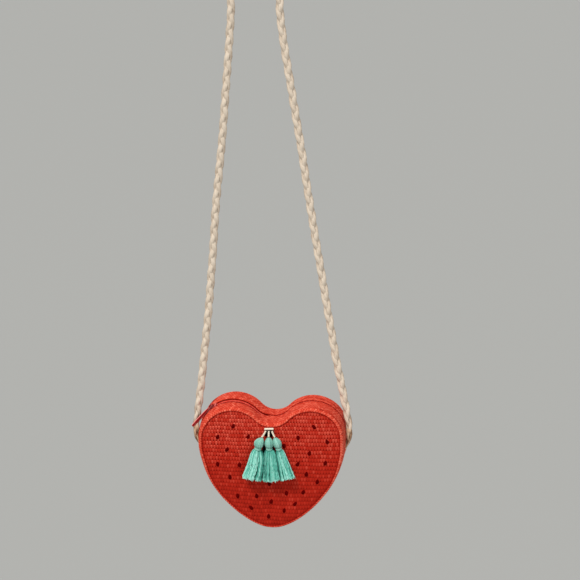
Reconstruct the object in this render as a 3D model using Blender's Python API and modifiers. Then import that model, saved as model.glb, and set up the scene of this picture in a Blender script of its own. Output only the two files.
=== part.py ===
"""Heart-shaped strawberry crossbody bag, hanging from its braided strap.

Frame: metres, +Z up, +X to the right as the bag is seen from the front, -Y is
the front. The origin is where the strap's bend sits on the peg that carries it.
All shapes below are laid out in the bag's own frame, whose centre is midway
between the widest points of the heart and midway through its depth, and are
then placed at BAG.
"""
import math

import bmesh
import bpy
import numpy as np
from mathutils import Matrix, Vector

# ---------------------------------------------------------------- dimensions
MM = 0.001

# heart outline of the front edge: two lobes, a rounded cleft, long flanks
LOBE_X = 43.0 * MM          # lobe centre from the middle
LOBE_R = 36.3 * MM          # lobe radius
CLEFT_R = 21.45 * MM        # radius of the cleft between the lobes
SIDE_DROP = 5.0 * MM        # short straight side below each lobe
FLANK_R = 105.0 * MM        # radius of each flank
TIP_R = 30.0 * MM           # rounding at the bottom point

DEPTH = 47.0 * MM           # front edge to back edge
WALL = 1.6 * MM             # woven gusset thickness
PANEL = 2.2 * MM            # woven face thickness
LINING = 0.6 * MM           # lining cloth
GAP = 0.3 * MM              # clearance between touching pieces

ZIP_Y = -1.0 * MM           # zipper line, just in front of the middle
ZIP_SLOT = 4.6 * MM         # half width of the slot between the top strips
SEAM_ANGLE = 9.5            # lobe angle at which the zipper section ends
SLIDER_ANGLE = 131.0        # left lobe angle of the slider, closed
SLIDER_HALF = 5.5 * MM      # half length of the slider

STRAP_D = 8.8 * MM          # braided strap
HINGE_X = 85.2 * MM         # sewn strap ends, from the middle
HINGE_Y = 1.5 * MM
HINGE_Z = -2.0 * MM
STRAP_Y = 7.0 * MM          # plane in which the strap hangs above the bag
PEG_R = 25.5 * MM           # bend of the strap's centre line over its peg
PEG_X = -18.2 * MM
PEG_Z = 503.0 * MM

TAB_X, TAB_Z = -2.2 * MM, 12.4 * MM
TAB_W, TAB_H, TAB_T = 10.4 * MM, 2.6 * MM, 2.1 * MM
TASSEL_AXIS_Y = -25.3 * MM  # where the hanging cords leave the tab
TASSEL_AXIS_Z = 9.4 * MM

# strap's highest underside is the origin
BAG = Vector((-PEG_X, -STRAP_Y, -(PEG_Z + PEG_R - STRAP_D / 2)))
HALF = DEPTH / 2

# ---------------------------------------------------------------- scene
for ob in list(bpy.data.objects):
    bpy.data.objects.remove(ob, do_unlink=True)

bag_parts = bpy.data.collections.new("strawberry_crossbody_bag")
cutters = bpy.data.collections.new("cutters")
bpy.context.scene.collection.children.link(bag_parts)
bpy.context.scene.collection.children.link(cutters)


def material(name, colour, roughness, metallic=0.0):
    m = bpy.data.materials.new(name)
    m.use_nodes = True
    bsdf = m.node_tree.nodes["Principled BSDF"]
    bsdf.inputs["Base Color"].default_value = (*colour, 1.0)
    bsdf.inputs["Roughness"].default_value = roughness
    bsdf.inputs["Metallic"].default_value = metallic
    return m


def finish(ob, colour, roughness=0.8, metallic=0.0, smooth=None):
    """Gives an object its own material, and smooth shading up to an angle."""
    ob.data.materials.clear()
    ob.data.materials.append(material(ob.name + "_material", colour, roughness, metallic))
    if smooth and ob.type == "MESH":
        ob.data.shade_smooth()
        ob.data.set_sharp_from_angle(angle=math.radians(smooth))
    return ob


def empty(name, at, parent=None):
    e = bpy.data.objects.new(name, None)
    e.empty_display_size = 0.01
    bag_parts.objects.link(e)
    if parent:
        e.parent = parent
        e.location = Vector(at) - parent.matrix_world.translation
    else:
        e.location = at
    bpy.context.view_layer.update()
    return e


def attach(ob, parent):
    """Parents an object to an empty without moving it."""
    bpy.context.view_layer.update()
    ob.parent = parent
    ob.matrix_parent_inverse = parent.matrix_world.inverted()
    return ob


RED = (0.55, 0.035, 0.02)
CORAL = (0.72, 0.07, 0.035)
LINEN = (0.72, 0.62, 0.46)
STRAW = (0.68, 0.52, 0.33)
MINT = (0.25, 0.66, 0.52)
CREAM = (0.83, 0.76, 0.58)

# ---------------------------------------------------------------- heart outline
CLEFT_Z = math.sqrt((LOBE_R + CLEFT_R) ** 2 - LOBE_X ** 2)
CLEFT_TURN = math.atan2(CLEFT_Z, LOBE_X)            # angle at which cleft meets lobe
FLANK_X = LOBE_X + LOBE_R - FLANK_R
TIP_Z = -SIDE_DROP - math.sqrt((FLANK_R - TIP_R) ** 2 - FLANK_X ** 2)
FLANK_TURN = math.atan2(-TIP_Z - SIDE_DROP, -FLANK_X)

# the right half, from the cleft to the tip: (kind, centre, radius, from, to, side)
# side is +1 where the centre is inside the heart and -1 where it is outside
HALF_HEART = [
    ("arc", (0.0, CLEFT_Z), CLEFT_R, -math.pi / 2, -CLEFT_TURN, -1),
    ("arc", (LOBE_X, 0.0), LOBE_R, math.pi - CLEFT_TURN, 0.0, 1),
    ("line", (LOBE_X + LOBE_R, 0.0), SIDE_DROP, 0.0, 0.0, 1),
    ("arc", (FLANK_X, -SIDE_DROP), FLANK_R, 0.0, -FLANK_TURN, 1),
    ("arc", (0.0, TIP_Z), TIP_R, -FLANK_TURN, -math.pi / 2, 1),
]
LENGTHS = [s[2] * abs(s[4] - s[3]) if s[0] == "arc" else s[2] for s in HALF_HEART]
HALF_LENGTH = sum(LENGTHS)


def outline(t, off=0.0):
    """Point (x, z) at a station: t metres from the cleft along the front edge,
    to the right if positive, offset outwards by off."""
    sign = 1.0 if t >= 0 else -1.0
    t = min(abs(t), HALF_LENGTH)
    for (kind, c, r, a0, a1, side), length in zip(HALF_HEART, LENGTHS):
        if t <= length + 1e-12:
            break
        t -= length
    if kind == "line":
        return sign * (c[0] + off), c[1] - t
    a = a0 + (a1 - a0) * min(t / length, 1.0)
    r += side * off
    return sign * (c[0] + r * math.cos(a)), c[1] + r * math.sin(a)


def lobe_station(angle_deg):
    """Station of an angle on the right lobe, measured from +X."""
    return LENGTHS[0] + LOBE_R * (math.pi - CLEFT_TURN - math.radians(angle_deg))


def stations(t0, t1, step=5.0 * MM):
    n = max(2, int(math.ceil(abs(t1 - t0) / step)) + 1)
    return [t0 + (t1 - t0) * i / (n - 1) for i in range(n)]


def to_mesh(ob):
    """Turns a curve object, caps and all, into a mesh object of the same name."""
    bpy.context.view_layer.update()
    deps = bpy.context.evaluated_depsgraph_get()
    mesh = bpy.data.meshes.new_from_object(ob.evaluated_get(deps))
    bm = bmesh.new()
    bm.from_mesh(mesh)
    bmesh.ops.remove_doubles(bm, verts=bm.verts, dist=1e-6)
    bmesh.ops.recalc_face_normals(bm, faces=bm.faces)
    bm.to_mesh(mesh)
    bm.free()
    name, world = ob.name, ob.matrix_world.copy()
    home = ob.users_collection[0]
    bpy.data.objects.remove(ob, do_unlink=True)
    new = bpy.data.objects.new(name, mesh)
    new.matrix_world = world
    home.objects.link(new)
    return new


def flat(name, loops, y0, y1, colour, roughness=0.85, home=None):
    """A flat outline in the bag's X-Z plane, extruded from depth y0 to y1."""
    cu = bpy.data.curves.new(name, "CURVE")
    cu.dimensions = "2D"
    cu.fill_mode = "BOTH"
    cu.extrude = (y1 - y0) / 2
    for loop in loops:
        sp = cu.splines.new("POLY")
        sp.points.add(len(loop) - 1)
        for p, (x, z) in zip(sp.points, loop):
            p.co = (x, z, 0.0, 1.0)
        sp.use_cyclic_u = True
    ob = bpy.data.objects.new(name, cu)
    (home or bag_parts).objects.link(ob)
    ob.rotation_euler = (math.pi / 2, 0.0, 0.0)
    ob.location = BAG + Vector((0.0, (y0 + y1) / 2, 0.0))
    ob = to_mesh(ob)
    return finish(ob, colour, roughness, smooth=30)


def heart_plate(name, off, y0, y1, colour):
    loop = [outline(t, off) for t in stations(-HALF_LENGTH, HALF_LENGTH)[:-1]]
    return flat(name, [loop], y0, y1, colour)


def band(name, t0, t1, inner, outer, y0, y1, colour, step=5.0 * MM, roughness=0.85, home=None):
    """A strip that follows the heart's edge between two stations."""
    ts = stations(t0, t1, step)
    loop = [outline(t, outer) for t in ts] + [outline(t, inner) for t in reversed(ts)]
    return flat(name, [loop], y0, y1, colour, roughness, home)


def boolean(ob, other, operation):
    """Applies one exact Boolean and drops the second object."""
    mod = ob.modifiers.new(operation.lower(), "BOOLEAN")
    mod.operation = operation
    mod.solver = "EXACT"
    mod.object = other
    bpy.context.view_layer.update()
    deps = bpy.context.evaluated_depsgraph_get()
    mesh = bpy.data.meshes.new_from_object(ob.evaluated_get(deps))
    ob.modifiers.clear()
    old = ob.data
    ob.data = mesh
    bpy.data.meshes.remove(old)
    bpy.data.objects.remove(other, do_unlink=True)
    return ob


# ---------------------------------------------------------------- joint axes
hang_point = empty("hang_point", (0.0, 0.0, 0.0))
bag_axis = empty("bag_swing_axis", BAG + Vector((0.0, HINGE_Y, HINGE_Z)), hang_point)

# ---------------------------------------------------------------- woven shell
T_SEAM = lobe_station(SEAM_ANGLE)
END = 0.15 * MM

shell = [
    heart_plate("front_panel", -WALL - GAP, -HALF + GAP, -HALF + GAP + PANEL, RED),
    heart_plate("back_panel", -WALL - GAP, HALF - GAP - PANEL, HALF - GAP, CORAL),
]


def lower_band(name, inner, outer, y0, y1, colour):
    """The strip from one side seam, down round the tip, to the other."""
    down = stations(T_SEAM + END, HALF_LENGTH)
    ts = down + [-t for t in reversed(down[:-1])]
    loop = [outline(t, outer) for t in ts] + [outline(t, inner) for t in reversed(ts)]
    return flat(name, [loop], y0, y1, colour)


shell.append(lower_band("side_gusset", -WALL, 0.0, -HALF, HALF, CORAL))
shell.append(band("top_gusset_front", -T_SEAM + END, T_SEAM - END, -WALL, 0.0,
                  -HALF, ZIP_Y - ZIP_SLOT, CORAL))
shell.append(band("top_gusset_back", -T_SEAM + END, T_SEAM - END, -WALL, 0.0,
                  ZIP_Y + ZIP_SLOT, HALF, CORAL))

# ---------------------------------------------------------------- lining
IN = HALF - GAP - PANEL - GAP
shell.append(heart_plate("lining_front", -WALL - GAP, -IN, -IN + LINING, LINEN))
shell.append(heart_plate("lining_back", -WALL - GAP, IN - LINING, IN, LINEN))
IN -= LINING + GAP
shell.append(lower_band("lining_side", -WALL - 0.4 * MM - LINING, -WALL - 0.4 * MM, -IN, IN, LINEN))
LINING_TOP = -3.6 * MM
shell.append(band("lining_top_front", -T_SEAM + 1.5 * MM, T_SEAM - 1.5 * MM, LINING_TOP - LINING,
                  LINING_TOP, -IN, ZIP_Y - 6.5 * MM, LINEN))
shell.append(band("lining_top_back", -T_SEAM + 1.5 * MM, T_SEAM - 1.5 * MM, LINING_TOP - LINING,
                  LINING_TOP, ZIP_Y + 6.5 * MM, IN, LINEN))

# ---------------------------------------------------------------- zipper
TAPE_TOP, TAPE_LOW = -2.4 * MM, -3.0 * MM
COIL_TOP, COIL_LOW = -1.4 * MM, -4.0 * MM
ZIP_RED = (0.6, 0.03, 0.03)
for side, way in (("front", -1), ("back", 1)):
    lo, hi = sorted((ZIP_Y + way * 2.9 * MM, ZIP_Y + way * 13.0 * MM))
    shell.append(band("zipper_tape_" + side, -T_SEAM + 1.5 * MM, T_SEAM - 1.5 * MM,
                      TAPE_LOW, TAPE_TOP, lo, hi, ZIP_RED))
    lo, hi = sorted((ZIP_Y + way * 0.7 * MM, ZIP_Y + way * 2.6 * MM))
    shell.append(band("zipper_coil_" + side, -lobe_station(37.0), lobe_station(20.5),
                      COIL_LOW, COIL_TOP, lo, hi, ZIP_RED, roughness=0.5))
shell.append(band("zipper_top_stop", -lobe_station(32.0), -lobe_station(36.4), COIL_LOW, COIL_TOP,
                  ZIP_Y - 2.6 * MM, ZIP_Y + 2.6 * MM, ZIP_RED, roughness=0.4))
shell.append(band("zipper_bottom_stop", lobe_station(20.0), lobe_station(15.0), COIL_LOW, COIL_TOP,
                  ZIP_Y - 2.6 * MM, ZIP_Y + 2.6 * MM, ZIP_RED, roughness=0.4))

# ---------------------------------------------------------------- strap ends
def strap_end(name, side):
    """The strap's sewn end: a braid end that narrows down the gusset. Its top
    is round about the swing axis, under the strap's own end."""
    levels = []
    r = STRAP_D / 2
    round_r = 3.0 * MM
    for a in (90, 65, 40, 18, 0):                     # the round top
        a = math.radians(a)
        levels.append((HINGE_Z + round_r * math.sin(a), r, max(round_r * math.cos(a), 0.45 * MM), HINGE_X))
    low_z = HINGE_Z - 19.6 * MM
    for i in range(1, 7):                             # the taper
        f = i / 6
        z = HINGE_Z + (low_z - HINGE_Z) * f
        half_x = r + (1.5 * MM - r) * f ** 1.2
        half_y = round_r + (2.2 * MM - round_r) * f
        # the heart's own side at this height, so that the end lies on it
        edge = FLANK_X + math.sqrt(FLANK_R ** 2 - (z + SIDE_DROP) ** 2) if z < -SIDE_DROP else LOBE_X + LOBE_R
        inner = max(edge + 0.5 * MM, 0.0)
        middle = HINGE_X + (inner + half_x - HINGE_X) * f
        levels.append((z, half_x, half_y, max(middle, inner + half_x)))
    bm = bmesh.new()
    rings = []
    n = 12
    for z, hx, hy, mx in levels:
        ring = []
        for k in range(n):
            a = 2 * math.pi * k / n
            # a soft rectangle, a little squarer than an ellipse
            ca, sa = math.cos(a), math.sin(a)
            ex = math.copysign(abs(ca) ** 0.8, ca) * hx
            ey = math.copysign(abs(sa) ** 0.8, sa) * hy
            ring.append(bm.verts.new((side * (mx + ex), HINGE_Y + ey, z)))
        rings.append(ring)
    for a, b in zip(rings, rings[1:]):
        for k in range(n):
            bm.faces.new((a[k], a[(k + 1) % n], b[(k + 1) % n], b[k]))
    bm.faces.new(rings[0])
    bm.faces.new(list(reversed(rings[-1])))
    bmesh.ops.recalc_face_normals(bm, faces=bm.faces)
    mesh = bpy.data.meshes.new(name)
    bm.to_mesh(mesh)
    bm.free()
    ob = bpy.data.objects.new(name, mesh)
    bag_parts.objects.link(ob)
    ob.location = BAG
    return finish(ob, STRAW, 0.9, smooth=40)


shell.append(strap_end("strap_end_left", -1))
shell.append(strap_end("strap_end_right", 1))

# ---------------------------------------------------------------- tassel tab
bm = bmesh.new()
bmesh.ops.create_cube(bm, size=1.0, matrix=Matrix.Diagonal((TAB_W, TAB_T, TAB_H, 1.0)))
mesh = bpy.data.meshes.new("tassel_tab")
bm.to_mesh(mesh)
bm.free()
tab = bpy.data.objects.new("tassel_tab", mesh)
bag_parts.objects.link(tab)
tab.location = BAG + Vector((TAB_X, -HALF - TAB_T / 2, TAB_Z))
bevel = tab.modifiers.new("soft_edges", "BEVEL")
bevel.width = 0.8 * MM
bevel.segments = 2
shell.append(finish(tab, CREAM, 0.9, smooth=50))

for ob in shell:
    attach(ob, bag_axis)

# ---------------------------------------------------------------- strap
def strap_depth(z):
    """The strap leans back from the sewn ends to the plane of its peg."""
    return STRAP_Y - (STRAP_Y - HINGE_Y) * math.exp(-(z - HINGE_Z) / (25.0 * MM))


def strap_route():
    """Smooth centre line from the left sewn end, over the peg, to the right one."""
    start = HINGE_Z + 3.65 * MM
    left = [(-84.75, start / MM), (-83.95, 11), (-82.35, 24), (-80.4, 40), (-78.5, 58), (-76.2, 82),
            (-71.4, 130), (-65.8, 200), (-61.0, 270), (-54.8, 335), (-50.2, 395), (-46.0, 453),
            (-44.2, 482)]
    right = [(8.4, 482), (12.0, 453), (21.0, 395), (30.4, 335), (40.0, 270), (51.0, 200),
             (62.0, 131), (70.2, 82), (74.9, 58), (78.4, 39), (81.6, 23), (83.8, 11),
             (84.7, start / MM)]
    pts = [Vector((x * MM, strap_depth(z * MM), z * MM)) for x, z in left]
    for deg in range(180, -1, -30):
        a = math.radians(deg)
        pts.append(Vector((PEG_X + PEG_R * math.cos(a), STRAP_Y, PEG_Z + PEG_R * math.sin(a))))
    pts += [Vector((x * MM, strap_depth(z * MM), z * MM)) for x, z in right]
    return pts


def smooth_path(pts, spacing, bend_spacing, bend_z):
    """Centripetal Catmull-Rom curve through points, resampled: wide steps on the
    long legs, closer ones round the bend above bend_z."""
    ext = [pts[0] * 2 - pts[1]] + list(pts) + [pts[-1] * 2 - pts[-2]]
    fine = []
    for i in range(1, len(ext) - 2):
        p0, p1, p2, p3 = ext[i - 1:i + 3]
        t0 = 0.0
        t1 = t0 + (p1 - p0).length ** 0.5
        t2 = t1 + (p2 - p1).length ** 0.5
        t3 = t2 + (p3 - p2).length ** 0.5
        for k in range(24):
            t = t1 + (t2 - t1) * k / 24
            a1 = p0 * ((t1 - t) / (t1 - t0)) + p1 * ((t - t0) / (t1 - t0))
            a2 = p1 * ((t2 - t) / (t2 - t1)) + p2 * ((t - t1) / (t2 - t1))
            a3 = p2 * ((t3 - t) / (t3 - t2)) + p3 * ((t - t2) / (t3 - t2))
            b1 = a1 * ((t2 - t) / (t2 - t0)) + a2 * ((t - t0) / (t2 - t0))
            b2 = a2 * ((t3 - t) / (t3 - t1)) + a3 * ((t - t1) / (t3 - t1))
            fine.append(b1 * ((t2 - t) / (t2 - t1)) + b2 * ((t - t1) / (t2 - t1)))
    fine.append(pts[-1])
    xyz = np.array(fine)
    run = np.linalg.norm(np.diff(xyz, axis=0), axis=1)
    near_bend = (xyz[1:, 2] + xyz[:-1, 2]) / 2 > bend_z
    count = np.concatenate([[0.0], np.cumsum(run / np.where(near_bend, bend_spacing, spacing))])
    n = int(round(count[-1])) + 1
    want = np.linspace(0.0, count[-1], n)
    return [Vector([np.interp(s, count, xyz[:, k]) for k in range(3)]) for s in want]


cu = bpy.data.curves.new("strap", "CURVE")
cu.dimensions = "3D"
cu.fill_mode = "FULL"
cu.bevel_depth = STRAP_D / 2
cu.bevel_resolution = 3
cu.use_fill_caps = True
route = smooth_path(strap_route(), 2.2 * STRAP_D, 0.75 * STRAP_D, PEG_Z - 12 * MM)
sp = cu.splines.new("POLY")
sp.points.add(len(route) - 1)
for p, q in zip(sp.points, route):
    p.co = (*(q + BAG), 1.0)
strap = bpy.data.objects.new("strap", cu)
bag_parts.objects.link(strap)
finish(strap, STRAW, 0.9)
attach(strap, hang_point)

# ---------------------------------------------------------------- zipper slider
PHI = math.radians(SLIDER_ANGLE)
LOBE = Vector((-LOBE_X, ZIP_Y, 0.0))                    # centre of the left lobe
OUT = Vector((math.cos(PHI), 0.0, math.sin(PHI)))       # away from the lobe's centre
ALONG = Vector((-math.sin(PHI), 0.0, math.cos(PHI)))    # down and left along the zipper
slider_axis = empty("zip_travel_axis", BAG + LOBE, bag_axis)


def slider_sector(name, inner, outer, half_len, y0, y1, shift=0.0):
    """A curved plate about the left lobe's centre, at the slider."""
    h = half_len / LOBE_R
    angles = [PHI + shift / LOBE_R - h + 2 * h * i / 4 for i in range(5)]
    loop = [(-LOBE_X + (LOBE_R + outer) * math.cos(a), (LOBE_R + outer) * math.sin(a)) for a in angles]
    loop += [(-LOBE_X + (LOBE_R + inner) * math.cos(a), (LOBE_R + inner) * math.sin(a))
             for a in reversed(angles)]
    return flat(name, [loop], ZIP_Y + y0, ZIP_Y + y1, ZIP_RED, 0.35)


P_TOP = -1.1 * MM                                       # underside of the top plate
P_LOW = -4.3 * MM                                       # upper side of the under plate
slider = slider_sector("zipper_slider", P_LOW - 1.1 * MM, 0.0, SLIDER_HALF, -3.8 * MM, 3.8 * MM)
# a channel for the teeth along it, and a slot on each side for the tapes
boolean(slider, slider_sector("teeth_channel", P_LOW, P_TOP, SLIDER_HALF + 2 * MM,
                              -3.2 * MM, 3.2 * MM), "DIFFERENCE")
boolean(slider, slider_sector("tape_slot", -3.3 * MM, -2.1 * MM, SLIDER_HALF + 3 * MM,
                              -6.0 * MM, 6.0 * MM), "DIFFERENCE")
# the neck between the plates, at the leading end
boolean(slider, slider_sector("neck", P_LOW - 0.2 * MM, P_TOP + 0.2 * MM, 1.2 * MM,
                              -0.4 * MM, 0.4 * MM, -4.0 * MM), "UNION")

# the bridge on the slider's top, which holds the pull
PULL_H = 1.35 * MM                                      # pull's bar above the plate
BRIDGE_H = 2.85 * MM
BRIDGE_HALF = 2.1 * MM
cu = bpy.data.curves.new("bridge", "CURVE")
cu.dimensions = "3D"
cu.fill_mode = "FULL"
cu.bevel_depth = 0.55 * MM
cu.bevel_resolution = 2
cu.use_fill_caps = True
sp = cu.splines.new("POLY")
prof = [(-BRIDGE_HALF, -0.6 * MM), (-BRIDGE_HALF, BRIDGE_H - 0.9 * MM), (-BRIDGE_HALF + 0.3 * MM, BRIDGE_H - 0.3 * MM),
        (-BRIDGE_HALF + 0.9 * MM, BRIDGE_H), (BRIDGE_HALF - 0.9 * MM, BRIDGE_H),
        (BRIDGE_HALF - 0.3 * MM, BRIDGE_H - 0.3 * MM), (BRIDGE_HALF, BRIDGE_H - 0.9 * MM), (BRIDGE_HALF, -0.6 * MM)]
sp.points.add(len(prof) - 1)
for p, (s, h) in zip(sp.points, prof):
    p.co = (*(BAG + LOBE + OUT * (LOBE_R + h) + ALONG * s), 1.0)
bridge = bpy.data.objects.new("bridge", cu)
bag_parts.objects.link(bridge)
boolean(slider, to_mesh(bridge), "UNION")
finish(slider, ZIP_RED, 0.35, smooth=35)
attach(slider, slider_axis)

# ---------------------------------------------------------------- zipper pull
PIVOT = LOBE + OUT * (LOBE_R + PULL_H)
SKEW = math.radians(16.0)                               # it hangs in front of the strap
PULL_DIR = ALONG * math.cos(SKEW) - Vector((0, 1, 0)) * math.sin(SKEW)
PULL_LEN = 28.4 * MM
pull_axis = empty("pull_flip_axis", BAG + PIVOT, slider_axis)   # it turns about Y
outer = [(-0.45, -1.9), (-0.15, -2.55), (3.2, -2.65), (5.2, -1.75), (8.5, -1.7), (22.0, -2.05),
         (26.6, -1.85), (27.9, -1.2), (28.4, 0.0), (27.9, 1.2), (26.6, 1.85), (22.0, 2.05),
         (8.5, 1.7), (5.2, 1.75), (3.2, 2.65), (-0.15, 2.55), (-0.45, 1.9)]
window = [(0.45, -1.75), (3.0, -1.75), (3.5, -1.1), (3.5, 1.1), (3.0, 1.75), (0.45, 1.75)]
eye = [(25.0 + 0.8 * math.cos(math.radians(a)), 0.8 * math.sin(math.radians(a))) for a in range(0, 360, 45)]
cu = bpy.data.curves.new("zipper_pull", "CURVE")
cu.dimensions = "2D"
cu.fill_mode = "BOTH"
cu.extrude = 0.45 * MM
for loop in (outer, window, eye):
    sp = cu.splines.new("POLY")
    sp.points.add(len(loop) - 1)
    for p, (s, w) in zip(sp.points, loop):
        p.co = (s * MM, w * MM, 0.0, 1.0)
    sp.use_cyclic_u = True
pull = bpy.data.objects.new("zipper_pull", cu)
bag_parts.objects.link(pull)
side = OUT.cross(PULL_DIR)
pull.matrix_world = Matrix.Translation(BAG + PIVOT) @ Matrix(
    (PULL_DIR, side, OUT)).transposed().to_4x4()
pull = to_mesh(pull)
finish(pull, (0.62, 0.05, 0.06), 0.35, smooth=30)
attach(pull, pull_axis)

# ---------------------------------------------------------------- tassels
def turned(name, profile, at, tilt, flatten, colour, roughness=0.9, steps=16):
    """A turned shape: the profile runs top to bottom, the axis leans by tilt
    in the X-Z plane, and flatten squeezes it front to back."""
    mesh = bpy.data.meshes.new(name)
    mesh.from_pydata([(r * MM, 0.0, z * MM) for r, z in profile],
                     [(i, i + 1) for i in range(len(profile) - 1)], [])
    ob = bpy.data.objects.new(name, mesh)
    bag_parts.objects.link(ob)
    sc = ob.modifiers.new("turn", "SCREW")
    sc.axis = "Z"
    sc.steps = steps
    sc.render_steps = steps
    sc.use_merge_vertices = True
    sc.merge_threshold = 0.00002
    sc.use_smooth_shade = True
    ob.scale = (1.0, flatten, 1.0)
    ob.rotation_euler = (0.0, tilt, 0.0)
    ob.location = BAG + at
    return finish(ob, colour, roughness)


def tassel(side, x_top, x_head, head_r, x_low, skirt_w, fullness, colour=MINT):
    """Hanging cord, head, binding and skirt of one tassel. fullness is the skirt's
    width on its way down, as shares of skirt_w."""
    y_head = -HALF - 0.4 * MM - head_r
    top = Vector((x_top, TASSEL_AXIS_Y, TASSEL_AXIS_Z))
    head_top = Vector((x_head, y_head, 4.5 * MM))
    down = (Vector((x_low, y_head, -44.0 * MM)) - head_top).normalized()
    tilt = math.atan2(-down.x, -down.z)
    lift = empty("tassel_%s_lift_axis" % side, BAG + top, bag_axis)
    # cord: from under the tab to the head
    cu = bpy.data.curves.new("tassel_%s_cord" % side, "CURVE")
    cu.dimensions = "3D"
    cu.fill_mode = "FULL"
    cu.bevel_depth = 1.15 * MM
    cu.bevel_resolution = 2
    cu.use_fill_caps = True
    sp = cu.splines.new("POLY")
    end = head_top - down * 0.7 * MM
    pts = [top + (end - top) * f for f in (0.0, 0.35, 0.7, 1.0)]
    pts[1] += Vector((0, -0.25 * MM, 0))
    sp.points.add(len(pts) - 1)
    for p, q in zip(sp.points, pts):
        p.co = (*(BAG + q), 1.0)
    cord = bpy.data.objects.new("tassel_%s_cord" % side, cu)
    bag_parts.objects.link(cord)
    cord = to_mesh(cord)
    finish(cord, CREAM, 0.9, smooth=50)
    attach(cord, lift)
    if side == "middle":
        swing = lift
    else:
        swing = empty("tassel_%s_fan_axis" % side, BAG + head_top, lift)
    r = head_r / MM
    head = turned("tassel_%s_head" % side,
                  [(0.0, 0.0), (0.30 * r, -0.9), (0.60 * r, -2.2), (0.85 * r, -4.2), (r, -6.8),
                   (0.95 * r, -9.4), (0.80 * r, -11.3), (0.66 * r, -12.4), (0.0, -12.4)],
                  head_top, tilt, 1.0, colour)
    bind = turned("tassel_%s_binding" % side,
                  [(0.0, 0.0), (0.62 * r, 0.0), (0.70 * r, -0.4), (0.70 * r, -1.7), (0.62 * r, -2.1), (0.0, -2.1)],
                  head_top + down * 12.7 * MM, tilt, 1.0, colour)
    w = skirt_w / MM
    skirt = turned("tassel_%s_skirt" % side,
                   [(0.0, 0.0), (0.36 * w, 0.0), (fullness[0] * w, -2.0), (fullness[1] * w, -7.0),
                    (fullness[2] * w, -15.0), (fullness[3] * w, -25.0), (w, -34.4), (0.0, -34.4)],
                   head_top + down * 15.1 * MM, tilt, 0.5, colour, steps=18)
    for ob in (head, bind, skirt):
        attach(ob, swing)


tassel("left", -6.4 * MM, -11.8 * MM, 5.3 * MM, -22.3 * MM, 9.9 * MM, (0.50, 0.66, 0.83, 0.94))
tassel("middle", -2.5 * MM, -3.0 * MM, 4.5 * MM, -1.3 * MM, 9.1 * MM, (0.52, 0.70, 0.82, 0.92))
tassel("right", 1.2 * MM, 5.2 * MM, 4.7 * MM, 16.9 * MM, 8.6 * MM, (0.50, 0.62, 0.72, 0.86))

bpy.context.view_layer.update()
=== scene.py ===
import math

import bpy
import bmesh
import numpy as np
from mathutils import Matrix, Vector
from mathutils.kdtree import KDTree

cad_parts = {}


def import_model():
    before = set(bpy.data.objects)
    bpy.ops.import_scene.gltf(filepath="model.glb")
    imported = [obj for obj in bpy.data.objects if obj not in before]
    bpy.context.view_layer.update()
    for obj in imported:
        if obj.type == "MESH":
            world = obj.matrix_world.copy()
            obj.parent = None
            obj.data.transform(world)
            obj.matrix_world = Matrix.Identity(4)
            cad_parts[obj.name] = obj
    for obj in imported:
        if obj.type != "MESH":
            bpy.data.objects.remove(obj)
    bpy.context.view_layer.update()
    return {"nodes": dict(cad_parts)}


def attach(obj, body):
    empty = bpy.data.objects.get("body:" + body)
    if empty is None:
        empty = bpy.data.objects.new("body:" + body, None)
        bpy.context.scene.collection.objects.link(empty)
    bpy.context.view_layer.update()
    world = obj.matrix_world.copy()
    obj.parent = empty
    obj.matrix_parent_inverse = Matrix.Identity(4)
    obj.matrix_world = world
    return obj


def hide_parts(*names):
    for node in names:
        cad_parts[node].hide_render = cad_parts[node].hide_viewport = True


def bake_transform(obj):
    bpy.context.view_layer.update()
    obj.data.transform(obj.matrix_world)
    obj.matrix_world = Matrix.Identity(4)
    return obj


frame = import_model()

nodes = frame["nodes"]
scene = bpy.context.scene
scene.view_settings.view_transform = "Standard"

# The bag frame is in millimetres: X right, Y back, Z up, from the middle of the lobes.
# The object's frame is in metres and starts where the strap bends over its peg.
BAG = np.array([18.2, -7.0, -524.1])


def world(p):
    """Bag-frame millimetres to metres in the object's frame."""
    return (np.asarray(p, float) + BAG) * 0.001


# ---------------------------------------------------------------- camera
AZ = math.radians(3.5)
TAU = math.radians(25.0) - math.atan(149.2 / 4350.0)
FORWARD = Vector((-math.sin(AZ) * math.cos(TAU), math.cos(AZ) * math.cos(TAU), -math.sin(TAU)))
RIGHT = Vector((math.cos(AZ), math.sin(AZ), 0.0))
UP = RIGHT.cross(FORWARD)
camera = bpy.data.objects.new("camera", bpy.data.cameras.new("camera"))
scene.collection.objects.link(camera)
camera.data.lens = 270.0
camera.data.sensor_width = 36.0
camera.data.clip_start = 0.1
camera.data.clip_end = 200.0
camera.matrix_world = Matrix.Translation(Vector(world((285.546, -4353.377, 2023.417)))) @ Matrix(
    (RIGHT, UP, -FORWARD)).transposed().to_4x4()
scene.camera = camera

# ---------------------------------------------------------------- measures
LOBE_X, LOBE_R = 43.0, 36.3
CLEFT_R = 21.45
SIDE_DROP = 5.0
FLANK_R = 105.0
TIP_R = 30.0
HALF = 23.5
ZIP_Y = -1.0
SEAM_ANGLE = 9.5
HINGE_X, HINGE_Y, HINGE_Z = 85.2, 1.5, -2.0
STRAP_D, STRAP_Y = 8.8, 7.0
PEG_R, PEG_X, PEG_Z = 25.5, -18.2, 503.0

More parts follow.
